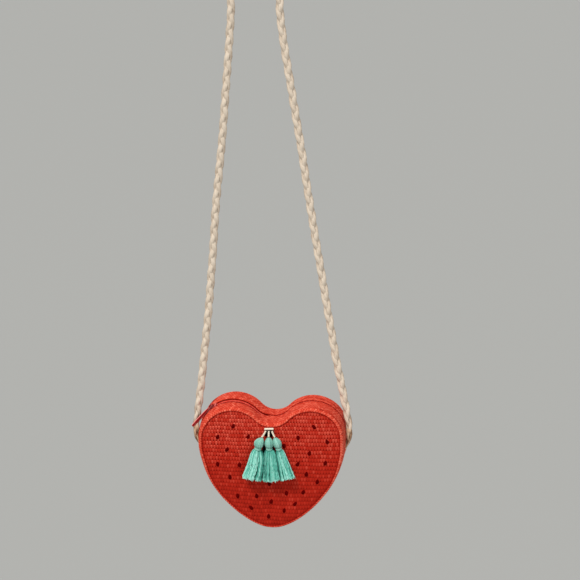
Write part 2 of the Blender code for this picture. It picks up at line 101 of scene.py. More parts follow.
CLEFT_Z = math.sqrt((LOBE_R + CLEFT_R) ** 2 - LOBE_X ** 2)
CLEFT_TURN = math.atan2(CLEFT_Z, LOBE_X)
FLANK_X = LOBE_X + LOBE_R - FLANK_R
TIP_Z = -SIDE_DROP - math.sqrt((FLANK_R - TIP_R) ** 2 - FLANK_X ** 2)
FLANK_TURN = math.atan2(-TIP_Z - SIDE_DROP, -FLANK_X)
HALF_HEART = [
    ("arc", (0.0, CLEFT_Z), CLEFT_R, -math.pi / 2, -CLEFT_TURN, -1),
    ("arc", (LOBE_X, 0.0), LOBE_R, math.pi - CLEFT_TURN, 0.0, 1),
    ("line", (LOBE_X + LOBE_R, 0.0), SIDE_DROP, 0.0, 0.0, 1),
    ("arc", (FLANK_X, -SIDE_DROP), FLANK_R, 0.0, -FLANK_TURN, 1),
    ("arc", (0.0, TIP_Z), TIP_R, -FLANK_TURN, -math.pi / 2, 1),
]
LENGTHS = [s[2] * abs(s[4] - s[3]) if s[0] == "arc" else s[2] for s in HALF_HEART]
HALF_LENGTH = sum(LENGTHS)


def outline(t):
    """Point and outward normal (x, z, nx, nz), t millimetres along the heart from
    the cleft: + to the right, - to the left."""
    sign = 1.0 if t >= 0 else -1.0
    rest = min(abs(t), HALF_LENGTH)
    for piece, length in zip(HALF_HEART, LENGTHS):
        if rest <= length + 1e-9:
            break
        rest -= length
    kind, c, r, a0, a1, side = piece
    if kind == "line":
        return sign * c[0], c[1] - rest, sign, 0.0
    a = a0 + (a1 - a0) * min(rest / length, 1.0)
    return (sign * (c[0] + r * math.cos(a)), c[1] + r * math.sin(a),
            sign * side * math.cos(a), side * math.sin(a))


def lobe_station(angle_deg):
    """Length along the outline at which the right lobe has this angle."""
    return LENGTHS[0] + LOBE_R * (math.pi - CLEFT_TURN - math.radians(angle_deg))


T_SEAM = lobe_station(SEAM_ANGLE)
RING_T = np.linspace(-HALF_LENGTH, HALF_LENGTH, 1801)[:-1]
RING = np.array([outline(t) for t in RING_T])
RING_TREE = KDTree(len(RING))
for i, row in enumerate(RING):
    RING_TREE.insert((row[0], 0.0, row[1]), i)
RING_TREE.balance()


def smoothstep(a, b, x):
    f = np.clip((np.asarray(x, float) - a) / (b - a), 0.0, 1.0)
    return f * f * (3 - 2 * f)


def turn_radius(z):
    """Radius with which the gusset turns over the edge: small near the point."""
    return 1.5 + 1.5 * smoothstep(-62.0, -26.0, z)


# ---------------------------------------------------------------- mesh tools
def grid_faces(nu, nv, closed_u=False, closed_v=False):
    i = np.arange(nu if closed_u else nu - 1)
    j = np.arange(nv if closed_v else nv - 1)
    i, j = np.meshgrid(i, j, indexing="ij")
    i2, j2 = (i + 1) % nu, (j + 1) % nv
    return np.stack([i * nv + j, i2 * nv + j, i2 * nv + j2, i * nv + j2], -1).reshape(-1, 4)


def slump(p):
    """How the soft bag hangs out of true: its back leans to the right, its right lobe
    twists down at the back, its left side swells a little under the strap's end, and it
    thins and sags towards the point."""
    x, y, z = p[:, 0].copy(), p[:, 1].copy(), p[:, 2].copy()
    w = np.clip((y + HALF) / (2 * HALF), 0.0, 1.0)
    part = smoothstep(-22.0, 5.0, x)
    high = smoothstep(-60.0, -5.0, z)
    x2 = x + 2.5 * ((1 - part) * smoothstep(0.58, 1.0, w) + part * w) * (0.35 + 0.65 * high)
    z2 = z + np.clip((x + 43.0) / 86.0, 0.0, 1.2) * (1.5 - 3.4 * w) * smoothstep(-45.0, 5.0, z)
    z2 = z2 - (5.4 * np.exp(-((x - 6.0) / 43.0) ** 2) - 1.6 * np.exp(-(x / 14.0) ** 2)) * smoothstep(-40.0, -94.0, z)
    x2 = x2 + (0.7 + 1.5 * smoothstep(0.6, 0.95, w)) * smoothstep(30.0, 70.0, x) * smoothstep(-75.0, -30.0, z) \
        * (1 - smoothstep(-16.0, -6.0, z))
    x2 = x2 - 1.1 * smoothstep(-56.0, -75.0, x) * smoothstep(-34.0, -10.0, z) * (1 - smoothstep(3.0, 17.0, z))
    y2 = y * (1.0 - 0.075 * smoothstep(-20.0, -104.0, z))
    return np.stack([x2, y2, z2], -1)


class Build:
    """Collects vertices, faces and their colour facts, painted shade and highlights among them, and makes one piece of
    them.
    """

    def __init__(self):
        self.verts, self.faces, self.count = [], [], 0
        self.tint, self.rise, self.lay = [], [], []

    def add(self, verts, faces, tint=0.5, rise=1.0, lay=None):
        verts = np.asarray(verts, float).reshape(-1, 3)
        n = len(verts)
        self.verts.append(verts)
        self.faces.extend([[int(k) + self.count for k in f] for f in faces])
        self.tint.append(np.broadcast_to(np.asarray(tint, float).ravel(), (n,)) if np.ndim(tint) else np.full(n, tint))
        self.rise.append(np.broadcast_to(np.asarray(rise, float).ravel(), (n,)) if np.ndim(rise) else np.full(n, rise))
        self.lay.append(np.zeros((n, 3)) if lay is None else np.asarray(lay, float).reshape(-1, 3))
        self.count += n

    def make(self, name, body, mat, replaces=(), sharp=55.0, soft=False, bend=None):
        verts = np.concatenate(self.verts)
        verts = world(slump(verts) if soft else verts)
        mesh = bpy.data.meshes.new(name)
        mesh.from_pydata(verts.tolist(), [], self.faces)
        # each point's tint is its strand's own tone; the second value is tone with painted shade and highlights in it;
        # lay places the streaks
        for key, kind, data in (("tint", "FLOAT", np.concatenate(self.tint)),
                                ("rise", "FLOAT", np.concatenate(self.rise)),
                                ("lay", "FLOAT_VECTOR", np.concatenate(self.lay))):
            layer = mesh.attributes.new(key, kind, "POINT")
            layer.data.foreach_set("vector" if kind == "FLOAT_VECTOR" else "value",
                                   data.astype(np.float32).ravel())
        bm = bmesh.new()
        bm.from_mesh(mesh)
        bmesh.ops.recalc_face_normals(bm, faces=bm.faces)
        bm.to_mesh(mesh)
        bm.free()
        mesh.shade_smooth()
        mesh.set_sharp_from_angle(angle=math.radians(sharp))
        mesh.materials.append(mat)
        ob = bpy.data.objects.new(name, mesh)
        scene.collection.objects.link(ob)
        if bend:
            world(bend[1]).tolist()
            world(bend[2]).tolist()
            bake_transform(ob)
        else:
            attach(ob, body)
        if replaces:
            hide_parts(*replaces)
        return ob


def frames(path, across):
    """Unit tangents, and two unit directions square to them, at each point of a path.
    The first direction stays as near as it can to across."""
    path = np.asarray(path, float)
    tangent = np.gradient(path, axis=0)
    tangent /= np.linalg.norm(tangent, axis=1)[:, None]
    across = np.broadcast_to(np.asarray(across, float), path.shape)
    first = across - (across * tangent).sum(1)[:, None] * tangent
    first /= np.linalg.norm(first, axis=1)[:, None]
    return tangent, first, np.cross(tangent, first)


def run_lengths(path):
    return np.concatenate([[0.0], np.cumsum(np.linalg.norm(np.diff(path, axis=0), axis=1))])


def tube(build, path, radius, sides=8, across=(1.0, 0.0, 0.0), squash=1.0, ripple=None,
         tint=0.5, rise=1.0, phase=0.0):
    """A capped tube. radius and squash may change along the path; ripple(s, a) scales
    the radius at length s and angle a."""
    path = np.asarray(path, float)
    n = len(path)
    _, first, second = frames(path, across)
    s = run_lengths(path)
    a = np.arange(sides) * 2 * math.pi / sides + phase
    r = np.broadcast_to(np.asarray(radius, float), (n,))[:, None] * np.ones(sides)
    if ripple is not None:
        r = r * ripple(s[:, None], a[None, :])
    q = np.broadcast_to(np.asarray(squash, float), (n,))[:, None]
    verts = (path[:, None, :] + (r * np.cos(a))[..., None] * first[:, None, :]
             + (r * q * np.sin(a))[..., None] * second[:, None, :])
    faces = grid_faces(n, sides, closed_v=True).tolist()
    faces.append(list(range(sides)))
    faces.append(list(range((n - 1) * sides, n * sides)))
    lay = np.stack([np.broadcast_to(s[:, None], r.shape), r * a[None, :],
                    np.full(r.shape, 17.0 * (build.count % 97))], -1)
    if np.ndim(tint) == 1:
        tint = np.broadcast_to(np.asarray(tint)[:, None], r.shape)
    if np.ndim(rise) == 1:
        rise = np.broadcast_to(np.asarray(rise)[:, None], r.shape)
    build.add(verts, faces, tint, rise, lay)


def dash(build, centre, along, outward, length, radius, tint=0.5, lift=0.0):
    """One stitch: a short thread that dips into the cloth at both ends."""
    centre, along, outward = (np.asarray(v, float) for v in (centre, along, outward))
    f = np.array([-0.5, -0.42, -0.25, 0.0, 0.25, 0.42, 0.5])
    sink = np.array([-1.1, -0.55, -0.1, 0.0, -0.1, -0.55, -1.1]) * radius
    path = centre + f[:, None] * length * along + (sink + lift)[:, None] * outward
    tube(build, path, radius * np.array([0.6, 0.9, 1.0, 1.0, 1.0, 0.9, 0.6]), 6,
         across=np.cross(along, outward), tint=tint)


# ---------------------------------------------------------------- materials
class Net:
    """Short hand for building a material's nodes."""

    def __init__(self, name):
        self.mat = bpy.data.materials.new(name)
        self.mat.use_nodes = True
        self.tree = self.mat.node_tree
        self.tree.nodes.clear()
        out = self.tree.nodes.new("ShaderNodeOutputMaterial")
        self.bsdf = self.tree.nodes.new("ShaderNodeBsdfPrincipled")
        self.tree.links.new(self.bsdf.outputs[0], out.inputs[0])

    def node(self, kind, out=0, props=(), **inputs):
        n = self.tree.nodes.new("ShaderNode" + kind)
        for k, v in dict(props).items():
            setattr(n, k, v)
        for k, v in inputs.items():
            k = int(k[1:]) if k[0] == "_" else k.replace("_", " ")
            self.put(n.inputs[k], v)
        return n.outputs[out]

    def put(self, socket, value):
        if isinstance(value, bpy.types.NodeSocket):
            self.tree.links.new(value, socket)
        else:
            socket.default_value = value

    def set(self, **inputs):
        for k, v in inputs.items():
            self.put(self.bsdf.inputs[k.replace("_", " ")], v)

    def attribute(self, name, out="Fac"):
        n = self.tree.nodes.new("ShaderNodeAttribute")
        n.attribute_name = name
        return n.outputs[out]

    def scaled(self, vector, x, y, z):
        return self.node("VectorMath", props={"operation": "MULTIPLY"}, _0=vector, _1=(x, y, z))

    def noise(self, vector, scale=1.0, detail=2.0, rough=0.5):
        return self.node("TexNoise", Vector=vector, Scale=scale, Detail=detail, Roughness=rough)

    def math(self, operation, a, b=0.0, c=0.0, clamp=False):
        return self.node("Math", props={"operation": operation, "use_clamp": clamp}, _0=a, _1=b, _2=c)

    def fit(self, value, a, b, c, d):
        return self.node("MapRange", Value=value, From_Min=a, From_Max=b, To_Min=c, To_Max=d)

    def ramp(self, value, stops):
        n = self.tree.nodes.new("ShaderNodeValToRGB")
        self.tree.links.new(value, n.inputs[0])
        ramp = n.color_ramp
        while len(ramp.elements) < len(stops):
            ramp.elements.new(0.5)
        for e, (at, colour) in zip(ramp.elements, stops):
            e.position = at
            e.color = (*colour, 1.0)
        return n.outputs[0]

    def mix(self, factor, a, b, blend="MIX"):
        n = self.tree.nodes.new("ShaderNodeMix")
        n.data_type = "RGBA"
        n.blend_type = blend
        for socket, value in ((n.inputs[0], factor), (n.inputs[6], a), (n.inputs[7], b)):
            if isinstance(value, tuple) and len(value) == 3:
                value = (*value, 1.0)
            self.put(socket, value)
        return n.outputs[2]

    def bump(self, height, depth, strength=1.0):
        n = self.tree.nodes.new("ShaderNodeBump")
        n.inputs["Strength"].default_value = strength
        n.inputs["Distance"].default_value = depth
        self.tree.links.new(height, n.inputs["Height"])
        self.tree.links.new(n.outputs[0], self.bsdf.inputs["Normal"])


def lin(r, g, b):
    """Display colour, 0 to 255, as scene-linear."""
    return tuple((c / 255 / 12.92) if c <= 10 else ((c / 255 + 0.055) / 1.055) ** 2.4 for c in (r, g, b))


def fibre_material(name, dark, mid, light, along=0.22, over=3.2, roughness=0.62, depth=0.00008,
                   wear=0.12, sheen=0.15, contrast=1.0, patch=0.35, shine=0.22):
    """Thread or straw: streaks along the lay, some strands paler, and painted shade in the gaps and painted highlights
    on the crests, from each point's tone value.
    """
    n = Net(name)
    lay, tint, rise = n.attribute("lay", "Vector"), n.attribute("tint"), n.attribute("rise")
    streak = n.noise(n.scaled(lay, over, along, 1.0), 1.0, 3.0, 0.6)
    fine = n.noise(n.scaled(lay, over * 3.1, along * 2.0, 1.0), 1.0, 2.0, 0.5)
    cloud = n.noise(n.scaled(lay, 0.07, 0.07, 0.07), 1.0, 2.0, 0.5)
    # painted light: each point's tone value, with the shade and highlights painted into it, moves the colour along the
    # ramp
    value = n.math("MULTIPLY_ADD", n.math("SUBTRACT", streak, 0.5), 0.55 * contrast, rise)
    value = n.math("MULTIPLY_ADD", n.math("SUBTRACT", tint, 0.5), 0.35 * contrast, value)
    value = n.math("MULTIPLY_ADD", n.math("SUBTRACT", cloud, 0.5), patch, value)
    colour = n.ramp(value, [(0.05, dark), (0.55, mid), (1.0, light)])
    worn = n.math("MULTIPLY", n.fit(fine, 0.55, 0.75, 0.0, 1.0), wear)
    colour = n.mix(worn, colour, light)
    n.set(Base_Color=colour, Roughness=n.fit(fine, 0.3, 0.7, roughness - 0.1, roughness + 0.12),
          Sheen_Weight=sheen, Sheen_Roughness=0.5, Specular_IOR_Level=shine)
    n.bump(n.math("MULTIPLY_ADD", streak, 0.7, n.math("MULTIPLY", fine, 0.3)), depth)
    return n.mat


def enamel_material(name, base, edge, roughness, shine=0.18):
    """Enamelled metal: a gloss coat with small pits, rubbed paler at its corners, and a painted highlight in the same
    pale colour where a point's tone value is high.
    """
    n = Net(name)
    place = n.node("TexCoord", out="Object")
    speck = n.noise(place, 900.0, 3.0, 0.6)
    cloud = n.noise(place, 160.0, 2.0, 0.5)
    rub = n.node("NewGeometry", out="Pointiness")
    rubbed = n.math("MULTIPLY", n.fit(rub, 0.53, 0.62, 0.0, 1.0), n.fit(speck, 0.35, 0.6, 0.3, 1.0))
    colour = n.mix(n.fit(cloud, 0.3, 0.7, 0.0, 0.5), base, tuple(c * 0.72 for c in base))
    colour = n.mix(rubbed, colour, edge)
    # painted highlight: where a point's tone value is high the enamel turns to its pale edge colour
    colour = n.mix(n.fit(n.attribute("rise"), 0.6, 0.95, 0.0, 0.85), colour, edge)
    n.set(Base_Color=colour, Specular_IOR_Level=shine, Roughness=n.fit(speck, 0.3, 0.7, roughness - 0.06, roughness + 0.1),
          Coat_Weight=0.05, Coat_Roughness=0.3)
    n.bump(speck, 0.00003)
    return n.mat


RED_STRAW = fibre_material("red_straw", lin(84, 1, 1), lin(177, 37, 23), lin(237, 112, 90), contrast=0.4, patch=0.14,
                           sheen=0.0, shine=0.02)
CORAL_STRAW = fibre_material("coral_straw", lin(116, 4, 3), lin(198, 59, 40), lin(238, 122, 97), contrast=0.7,
                             patch=0.12, sheen=0.0, shine=0.02)
RED_THREAD = fibre_material("red_thread", lin(66, 0, 0), lin(124, 4, 3), lin(166, 28, 20), roughness=0.7, sheen=0.0,
                            shine=0.02)
SEED_THREAD = fibre_material("seed_thread", lin(52, 0, 0), lin(92, 0, 1), lin(122, 10, 8), roughness=0.8, sheen=0.0,
                             contrast=0.6, shine=0.02)
# painted shadow: near-black thread for the deep shade among the tassel cords
SHADOW_THREAD = fibre_material("painted_shadow_thread", lin(6, 2, 2), lin(20, 8, 8), lin(60, 28, 26), roughness=0.8, sheen=0.0,
                             contrast=0.5, shine=0.03)
STRAW = fibre_material("natural_straw", lin(120, 82, 50), lin(207, 190, 170), lin(232, 218, 200), over=1.7,
                       along=0.16, roughness=0.75, contrast=0.7, patch=0.16, sheen=0.03, shine=0.15)
# painted shade and reflection: the same straw made browner and darker for the strap's ends, for the shade and the red
# bag's warm light thrown back on them
STRAW_END_PAINTED_SHADE = fibre_material("natural_straw_end_painted_shade", lin(112, 68, 36), lin(208, 178, 146), lin(238, 212, 180), over=1.7,
                           along=0.16, roughness=0.75, contrast=0.8, patch=0.16, sheen=0.03, shine=0.12)
# a paler copy of the mint yarn for the heads and bindings: partly their own paler tone, partly painted light on their
# round tops
MINT_HEAD_LIT = fibre_material("mint_head_thread", lin(6, 78, 70), lin(122, 182, 164), lin(200, 236, 222), roughness=0.55,
                           over=1.2, along=0.08, contrast=0.9, patch=0.2, sheen=0.1)
# painted shade: a near-black copy of the mint yarn, for strands that stand in for deep shade
MINT_IN_SHADE = fibre_material("shaded_mint_thread", lin(0, 22, 20), lin(4, 46, 42), lin(30, 96, 88), roughness=0.7,
                           over=1.6, along=0.08, sheen=0.0, shine=0.05)
CREAM = fibre_material("cream_thread", lin(110, 98, 80), lin(214, 202, 178), lin(246, 238, 222), roughness=0.7,
                       contrast=0.9, sheen=0.05)
MINT = fibre_material("mint_thread", lin(0, 66, 58), lin(84, 181, 160), lin(176, 238, 222), roughness=0.55,
                      over=1.6, along=0.08, contrast=1.5, patch=0.25, sheen=0.08)
TAPE = fibre_material("tape_cloth", lin(110, 6, 4), lin(176, 28, 20), lin(210, 62, 46), over=1.5, along=1.5, sheen=0.0,
                      shine=0.02)
TEETH = fibre_material("zip_teeth", lin(126, 5, 4), lin(204, 44, 32), lin(238, 106, 88), over=0.6, along=0.6,
                       roughness=0.5, depth=0.00002, sheen=0.0, shine=0.04)
LINING = fibre_material("lining_cloth", lin(120, 100, 76), lin(196, 178, 146), lin(222, 208, 180), over=1.8,
                        along=1.8, roughness=0.85)
SLIDER_ENAMEL = enamel_material("slider_enamel", lin(118, 2, 5), lin(236, 110, 102), 0.55, 0.08)
PULL_ENAMEL = enamel_material("pull_enamel", lin(120, 1, 4), lin(248, 146, 138), 0.6, 0.05)


# ---------------------------------------------------------------- strap
def strap_depth(z):
    return STRAP_Y - (STRAP_Y - HINGE_Y) * math.exp(-(z - HINGE_Z) / 25.0)


def strap_route():
    """Centre line from the left sewn end, over the peg, to the right one."""
    start = HINGE_Z + 3.65
    left = [(-84.75, start), (-83.95, 11), (-82.35, 24), (-80.4, 40), (-78.5, 58), (-76.2, 82),
            (-71.4, 130), (-65.8, 200), (-61.0, 270), (-54.8, 335), (-50.2, 395), (-46.0, 453),
            (-44.2, 482)]
    right = [(8.4, 482), (12.0, 453), (21.0, 395), (30.4, 335), (40.0, 270), (51.0, 200),
             (62.0, 131), (70.2, 82), (74.9, 58), (78.4, 39), (81.6, 23), (83.8, 11),
             (84.7, start)]
    pts = [(x, strap_depth(z), z) for x, z in left]
    for deg in range(180, -1, -30):
        a = math.radians(deg)
        pts.append((PEG_X + PEG_R * math.cos(a), STRAP_Y, PEG_Z + PEG_R * math.sin(a)))
    pts += [(x, strap_depth(z), z) for x, z in right]
    return np.array(pts, float)


def smooth_path(pts, step):
    """Centripetal Catmull-Rom curve through the points, in even steps."""
    ext = np.concatenate([[pts[0] * 2 - pts[1]], pts, [pts[-1] * 2 - pts[-2]]])
    fine = []
    for i in range(1, len(ext) - 2):
        p = ext[i - 1:i + 3]
        t = np.concatenate([[0.0], np.cumsum(np.linalg.norm(np.diff(p, axis=0), axis=1) ** 0.5)])
        for u in np.linspace(t[1], t[2], 24, endpoint=False):
            a = [p[k] * (t[k + 1] - u) / (t[k + 1] - t[k]) + p[k + 1] * (u - t[k]) / (t[k + 1] - t[k])
                 for k in range(3)]
            b = [a[k] * (t[k + 2] - u) / (t[k + 2] - t[k]) + a[k + 1] * (u - t[k]) / (t[k + 2] - t[k])
                 for k in range(2)]
            fine.append(b[0] * (t[2] - u) / (t[2] - t[1]) + b[1] * (u - t[1]) / (t[2] - t[1]))
    fine = np.array(fine + [pts[-1]])
    s = run_lengths(fine)
    want = np.linspace(0.0, s[-1], int(round(s[-1] / step)) + 1)
    return np.stack([np.interp(want, s, fine[:, k]) for k in range(3)], -1)


BRAID_PITCH = 53.0      # one strand's full wander across and back


def braid(build, path, across, width=1.0, thick=1.0, start=0.0, sides=18, open_=0.0):
    """Three plaited strands of straw along a path. width and thick scale it along the way,
    and open_ makes the strands thinner so that gaps show between them."""
    path = np.asarray(path, float)
    n = len(path)
    _, first, second = frames(path, across)
    s = run_lengths(path) + start
    width = np.broadcast_to(np.asarray(width, float), (n,))
    thick = np.broadcast_to(np.asarray(thick, float), (n,))
    open_ = np.broadcast_to(np.asarray(open_, float), (n,))
    a = np.arange(sides) * 2 * math.pi / sides
    for k in range(3):
        turn = 2 * math.pi * (s / BRAID_PITCH + k / 3)
        slow = 0.12 * np.sin(s * 0.031 + 2.1 * k) + 0.08 * np.sin(s * 0.083 + 1.3 * k)
        side = (1.78 + 0.55 * open_ + 0.6 * slow) * np.sin(turn) * width
        deep = 1.08 * np.sin(2 * turn) * thick
        lean = -0.26 * np.cos(turn)          # a strand rolls as it turns back at the edge
        core = path + side[:, None] * first + deep[:, None] * second
        # straws along the strand show as shallow ridges that wind slowly round it
        wind = 6 * a[None, :] + 0.52 * s[:, None] + 2.0 * k
        ridge = 1.0 + 0.055 * np.cos(wind) + 0.035 * np.sin(s[:, None] * 1.1 + 3 * a[None, :] + k) \
            + 0.02 * np.sin(s[:, None] * 0.37 + 1.7 * k)
        cx, cy = (2.66 - 0.80 * open_)[:, None] * ridge * np.cos(a), (1.48 - 0.25 * open_)[:, None] * ridge * np.sin(a)
        px = (cx * np.cos(lean)[:, None] - cy * np.sin(lean)[:, None]) * width[:, None]
        py = (cx * np.sin(lean)[:, None] + cy * np.cos(lean)[:, None]) * thick[:, None]
        verts = core[:, None, :] + px[..., None] * first[:, None, :] + py[..., None] * second[:, None, :]
        faces = grid_faces(n, sides, closed_v=True).tolist()
        faces.append(list(range(sides)))
        faces.append(list(range((n - 1) * sides, n * sides)))
        out = np.abs(deep[:, None] + py) / ((2.56 - 0.25 * open_[:, None]) * thick[:, None])
        edge = np.clip(np.abs(px) / ((2.66 - 0.80 * open_[:, None]) * width[:, None]), 0, 1) ** 6
        # painted shade: a strand is darker where it dips under the others and towards its edges, and darker still in
        # the open gaps near the strap's ends; its straw ridges are paler
        rise = 0.49 + 0.15 * np.clip(out, 0, 1) + 1.2 * (ridge - 1.0) - 0.07 * edge \
            - open_[:, None] * (0.10 + 0.34 * (1 - np.clip(out, 0, 1)) ** 0.8 + 0.25 * edge)
        lay = np.stack([np.broadcast_to(a[None, :] * 1.8, cx.shape),
                        np.broadcast_to(s[:, None], cx.shape), np.full(cx.shape, 31.0 * k)], -1)
        build.add(verts, faces, 0.35 + 0.15 * k, rise, lay)


route = smooth_path(strap_route(), 1.25)
tangent = np.gradient(route, axis=0)
tangent /= np.linalg.norm(tangent, axis=1)[:, None]
strap_across = np.cross((0.0, 1.0, 0.0), tangent)
b = Build()
along_route = run_lengths(route)
near_end = np.minimum(along_route, along_route[-1] - along_route)
loose = 1 - smoothstep(2.0, 36.0, near_end)
braid(b, route, strap_across, width=1.0 - 0.12 * loose, open_=0.55 * loose)
strap = b.make("strap_braid", "strap", STRAW, ["strap"])
STRAP_LENGTH = float(run_lengths(route)[-1])
world(route[0]).tolist()
[world(p).tolist() for p in route[::6]] + [world(route[-1]).tolist()]

for name, side in (("left", -1.0), ("right", 1.0)):
    b = Build()
    z = np.linspace(HINGE_Z + 3.62, HINGE_Z - 19.3, 30)
    f = np.clip((HINGE_Z - z) / 19.6, 0.0, 1.0)
    half_x = (4.4 + (1.5 - 4.4) * f ** 1.2) * 0.87
    edge = np.where(z < -SIDE_DROP, FLANK_X + np.sqrt(FLANK_R ** 2 - (z + SIDE_DROP) ** 2), LOBE_X + LOBE_R)
    middle = np.maximum(HINGE_X + (edge + 0.5 + half_x - HINGE_X) * f ** 1.25, edge + 0.5 + half_x)
    middle += 0.5 * np.sin(np.clip(f, 0, 1) * math.pi) - (1.0 if side > 0 else 0.9) \
        + (0.5 if side > 0 else 0.45) * (1 - smoothstep(0.0, 0.25, f))
    path = np.stack([side * middle, np.full(len(z), HINGE_Y), z], -1)
    wide = half_x / 4.4
    thick = (3.0 - 0.8 * f) / 3.0
    # it starts a little way inside the strap's own end, so that no gap shows
    inside = route[2:0:-1] if side < 0 else route[-3:-1]
    wide = np.concatenate([[0.86, 0.865], wide])
    looser = np.concatenate([[0.55, 0.55], 0.55 + 0.45 * smoothstep(0.0, 0.3, f)])
    thick = np.concatenate([[0.95, 0.96], thick * np.where(z > HINGE_Z, 0.97, 1.0)])
    path = np.concatenate([inside, path])
    if side < 0:
        below = float(run_lengths(path)[-1]) - 2.5
        braid(b, path[::-1], (1.0, 0.0, 0.0), wide[::-1], thick[::-1], -below, open_=looser[::-1])
    else:
        braid(b, path, (-1.0, 0.0, 0.0), wide, thick, STRAP_LENGTH - 2.5, open_=looser)
    wide, thick = wide[2:], thick[2:]
    middle = np.abs(path[2:, 0])
    # the foot is bound with a few turns of thread
    for k in range(4):
        zz = HINGE_Z - 16.9 - 0.62 * k
        m = np.interp(-zz, -z, middle)
        hx = np.interp(-zz, -z, wide) * 4.4
        a = np.linspace(0, 2 * math.pi, 17)[:-1]
        ring = np.stack([side * (m + hx * np.cos(a)), HINGE_Y + 1.98 * np.sin(a), np.full(16, zz)], -1)
        wraps = []
        for q in (0.0, 0.5, 1.0, 1.5):
            ang = q * math.pi
            centre = np.array([side * m, HINGE_Y, zz])
            out = (ring - centre) / np.linalg.norm(ring - centre, axis=1)[:, None]
            wraps.append(ring + out * 0.26 * math.cos(ang) + np.array([0, 0, 0.30 * math.sin(ang)]))
        b.add(np.stack(wraps), grid_faces(4, 16, closed_u=True, closed_v=True), 0.6, 0.6,
              np.stack([np.broadcast_to(a * 2, (4, 16)), np.full((4, 16), zz), np.zeros((4, 16))], -1))
    b.make("strap_end_%s_braid" % name, "bag", STRAW_END_PAINTED_SHADE, ["strap_end_%s" % name],
           bend=("strap", (side * HINGE_X, HINGE_Y, HINGE_Z + 3.6), (side * HINGE_X, HINGE_Y, HINGE_Z - 5.0)))


# ---------------------------------------------------------------- weave
def hashed(i, j, seed):
    """A number from 0 to 1 for each whole pair."""
    v = np.sin(i * 127.1 + j * 311.7 + seed * 74.7) * 43758.5453
    return v - np.floor(v)


def weave(u, v, pitch_u, pitch_v, seed, reach=(0.49, 0.68), wander=1.0):
    """Raised strands in rows, each row half a pitch along from the last. Returns the
    height, 0 to 1, and each strand's tint, at places u, v in millimetres."""
    u2 = u + wander * (0.30 * np.sin(v * 0.23 + 1.1 + seed) + 0.20 * np.sin(u * 0.11 + v * 0.07))
    v2 = v + wander * (0.34 * np.sin(u * 0.17 + 0.4 + seed) + 0.22 * np.sin(v * 0.09 - u * 0.05 + 2.0))
    high = np.zeros_like(u)
    tint = np.full_like(u, 0.5)
    row0 = np.floor(v2 / pitch_v)
    for dr in (-1, 0, 1):
        row = row0 + dr
        shift = 0.5 * np.mod(row, 2)
        col = np.round(u2 / pitch_u - shift)
        r1, r2, r3 = hashed(col, row, seed), hashed(col, row, seed + 1), hashed(col, row, seed + 2)
        cu = (col + shift + 0.10 * (r1 - 0.5)) * pitch_u
        cv = (row + 0.5 + 0.10 * (r2 - 0.5)) * pitch_v
        au = pitch_u * reach[0] * (0.94 + 0.14 * r3)
        av = pitch_v * reach[1] * (0.92 + 0.16 * r1)
        h = np.sqrt(np.clip(1.0 - ((u2 - cu) / au) ** 2 - ((v2 - cv) / av) ** 2, 0.0, 1.0)) * (0.84 + 0.32 * r2)
        better = h > high
        high = np.where(better, h, high)
        tint = np.where(better, r3, tint)
    return high, tint


def rows(u, v, pitch_u, pitch_v, seed):
    """Close rows of short stitches, like bricks, with a small hole where two stitches
    and the next row meet. Returns the height, 0 to 1, how much of a hole, how much of the line between rows, the tint,
    and flecks of painted highlight on the stitches' tops."""
    u2 = u + 0.28 * np.sin(v * 0.19 + 1.1 + seed) + 0.16 * np.sin(u * 0.13 + v * 0.31)
    v2 = v + 0.30 * np.sin(u * 0.085 + 0.4 + seed) + 0.16 * np.sin(u * 0.31 + v * 0.11 + 2.0)
    row = np.floor(v2 / pitch_v)
    shift = 0.5 * np.mod(row, 2) + 0.12 * (hashed(row, row * 0 + 3.0, seed) - 0.5)
    col = np.floor(u2 / pitch_u - shift)
    r1, r2, r3 = hashed(col, row, seed), hashed(col, row, seed + 1), hashed(col, row, seed + 2)
    fu = u2 / pitch_u - shift - col - 0.5 + 0.05 * (r1 - 0.5)
    fv = v2 / pitch_v - row - 0.5
    du = (0.5 - np.abs(fu)) * pitch_u          # from the gap between two stitches
    dv = (0.5 - np.abs(fv)) * pitch_v          # from the line between two rows
    gap = np.exp(-(du / 0.50) ** 2)
    line = np.exp(-(dv / 0.55) ** 2)
    hole = gap * np.exp(-((fv + 0.33) * pitch_v / 1.05) ** 2)
    round_ = 1.0 - 0.35 * (2 * fu) ** 2 - 0.30 * (2 * fv) ** 2
    high = np.clip(round_ * (0.86 + 0.20 * r2) - 0.30 * gap - 0.28 * line - 0.45 * hole, 0.0, 1.0)
    # painted highlight: pale flecks above and beside the middle of each stitch, where the light catches it
    above = np.exp(-(fu * pitch_u / 0.8) ** 2) * np.exp(-((fv - 0.42) * pitch_v / 0.62) ** 2)
    beside = np.exp(-((fu - 0.24) * pitch_u / 0.5) ** 2) * np.exp(-((fv + 0.28) * pitch_v / 0.95) ** 2)
    painted_fleck_highlight = np.clip(above * (0.35 + 0.65 * r3) + 0.75 * beside * smoothstep(0.2, 0.9, r1), 0.0, 1.0)
    return high, hole, line, r3, painted_fleck_highlight


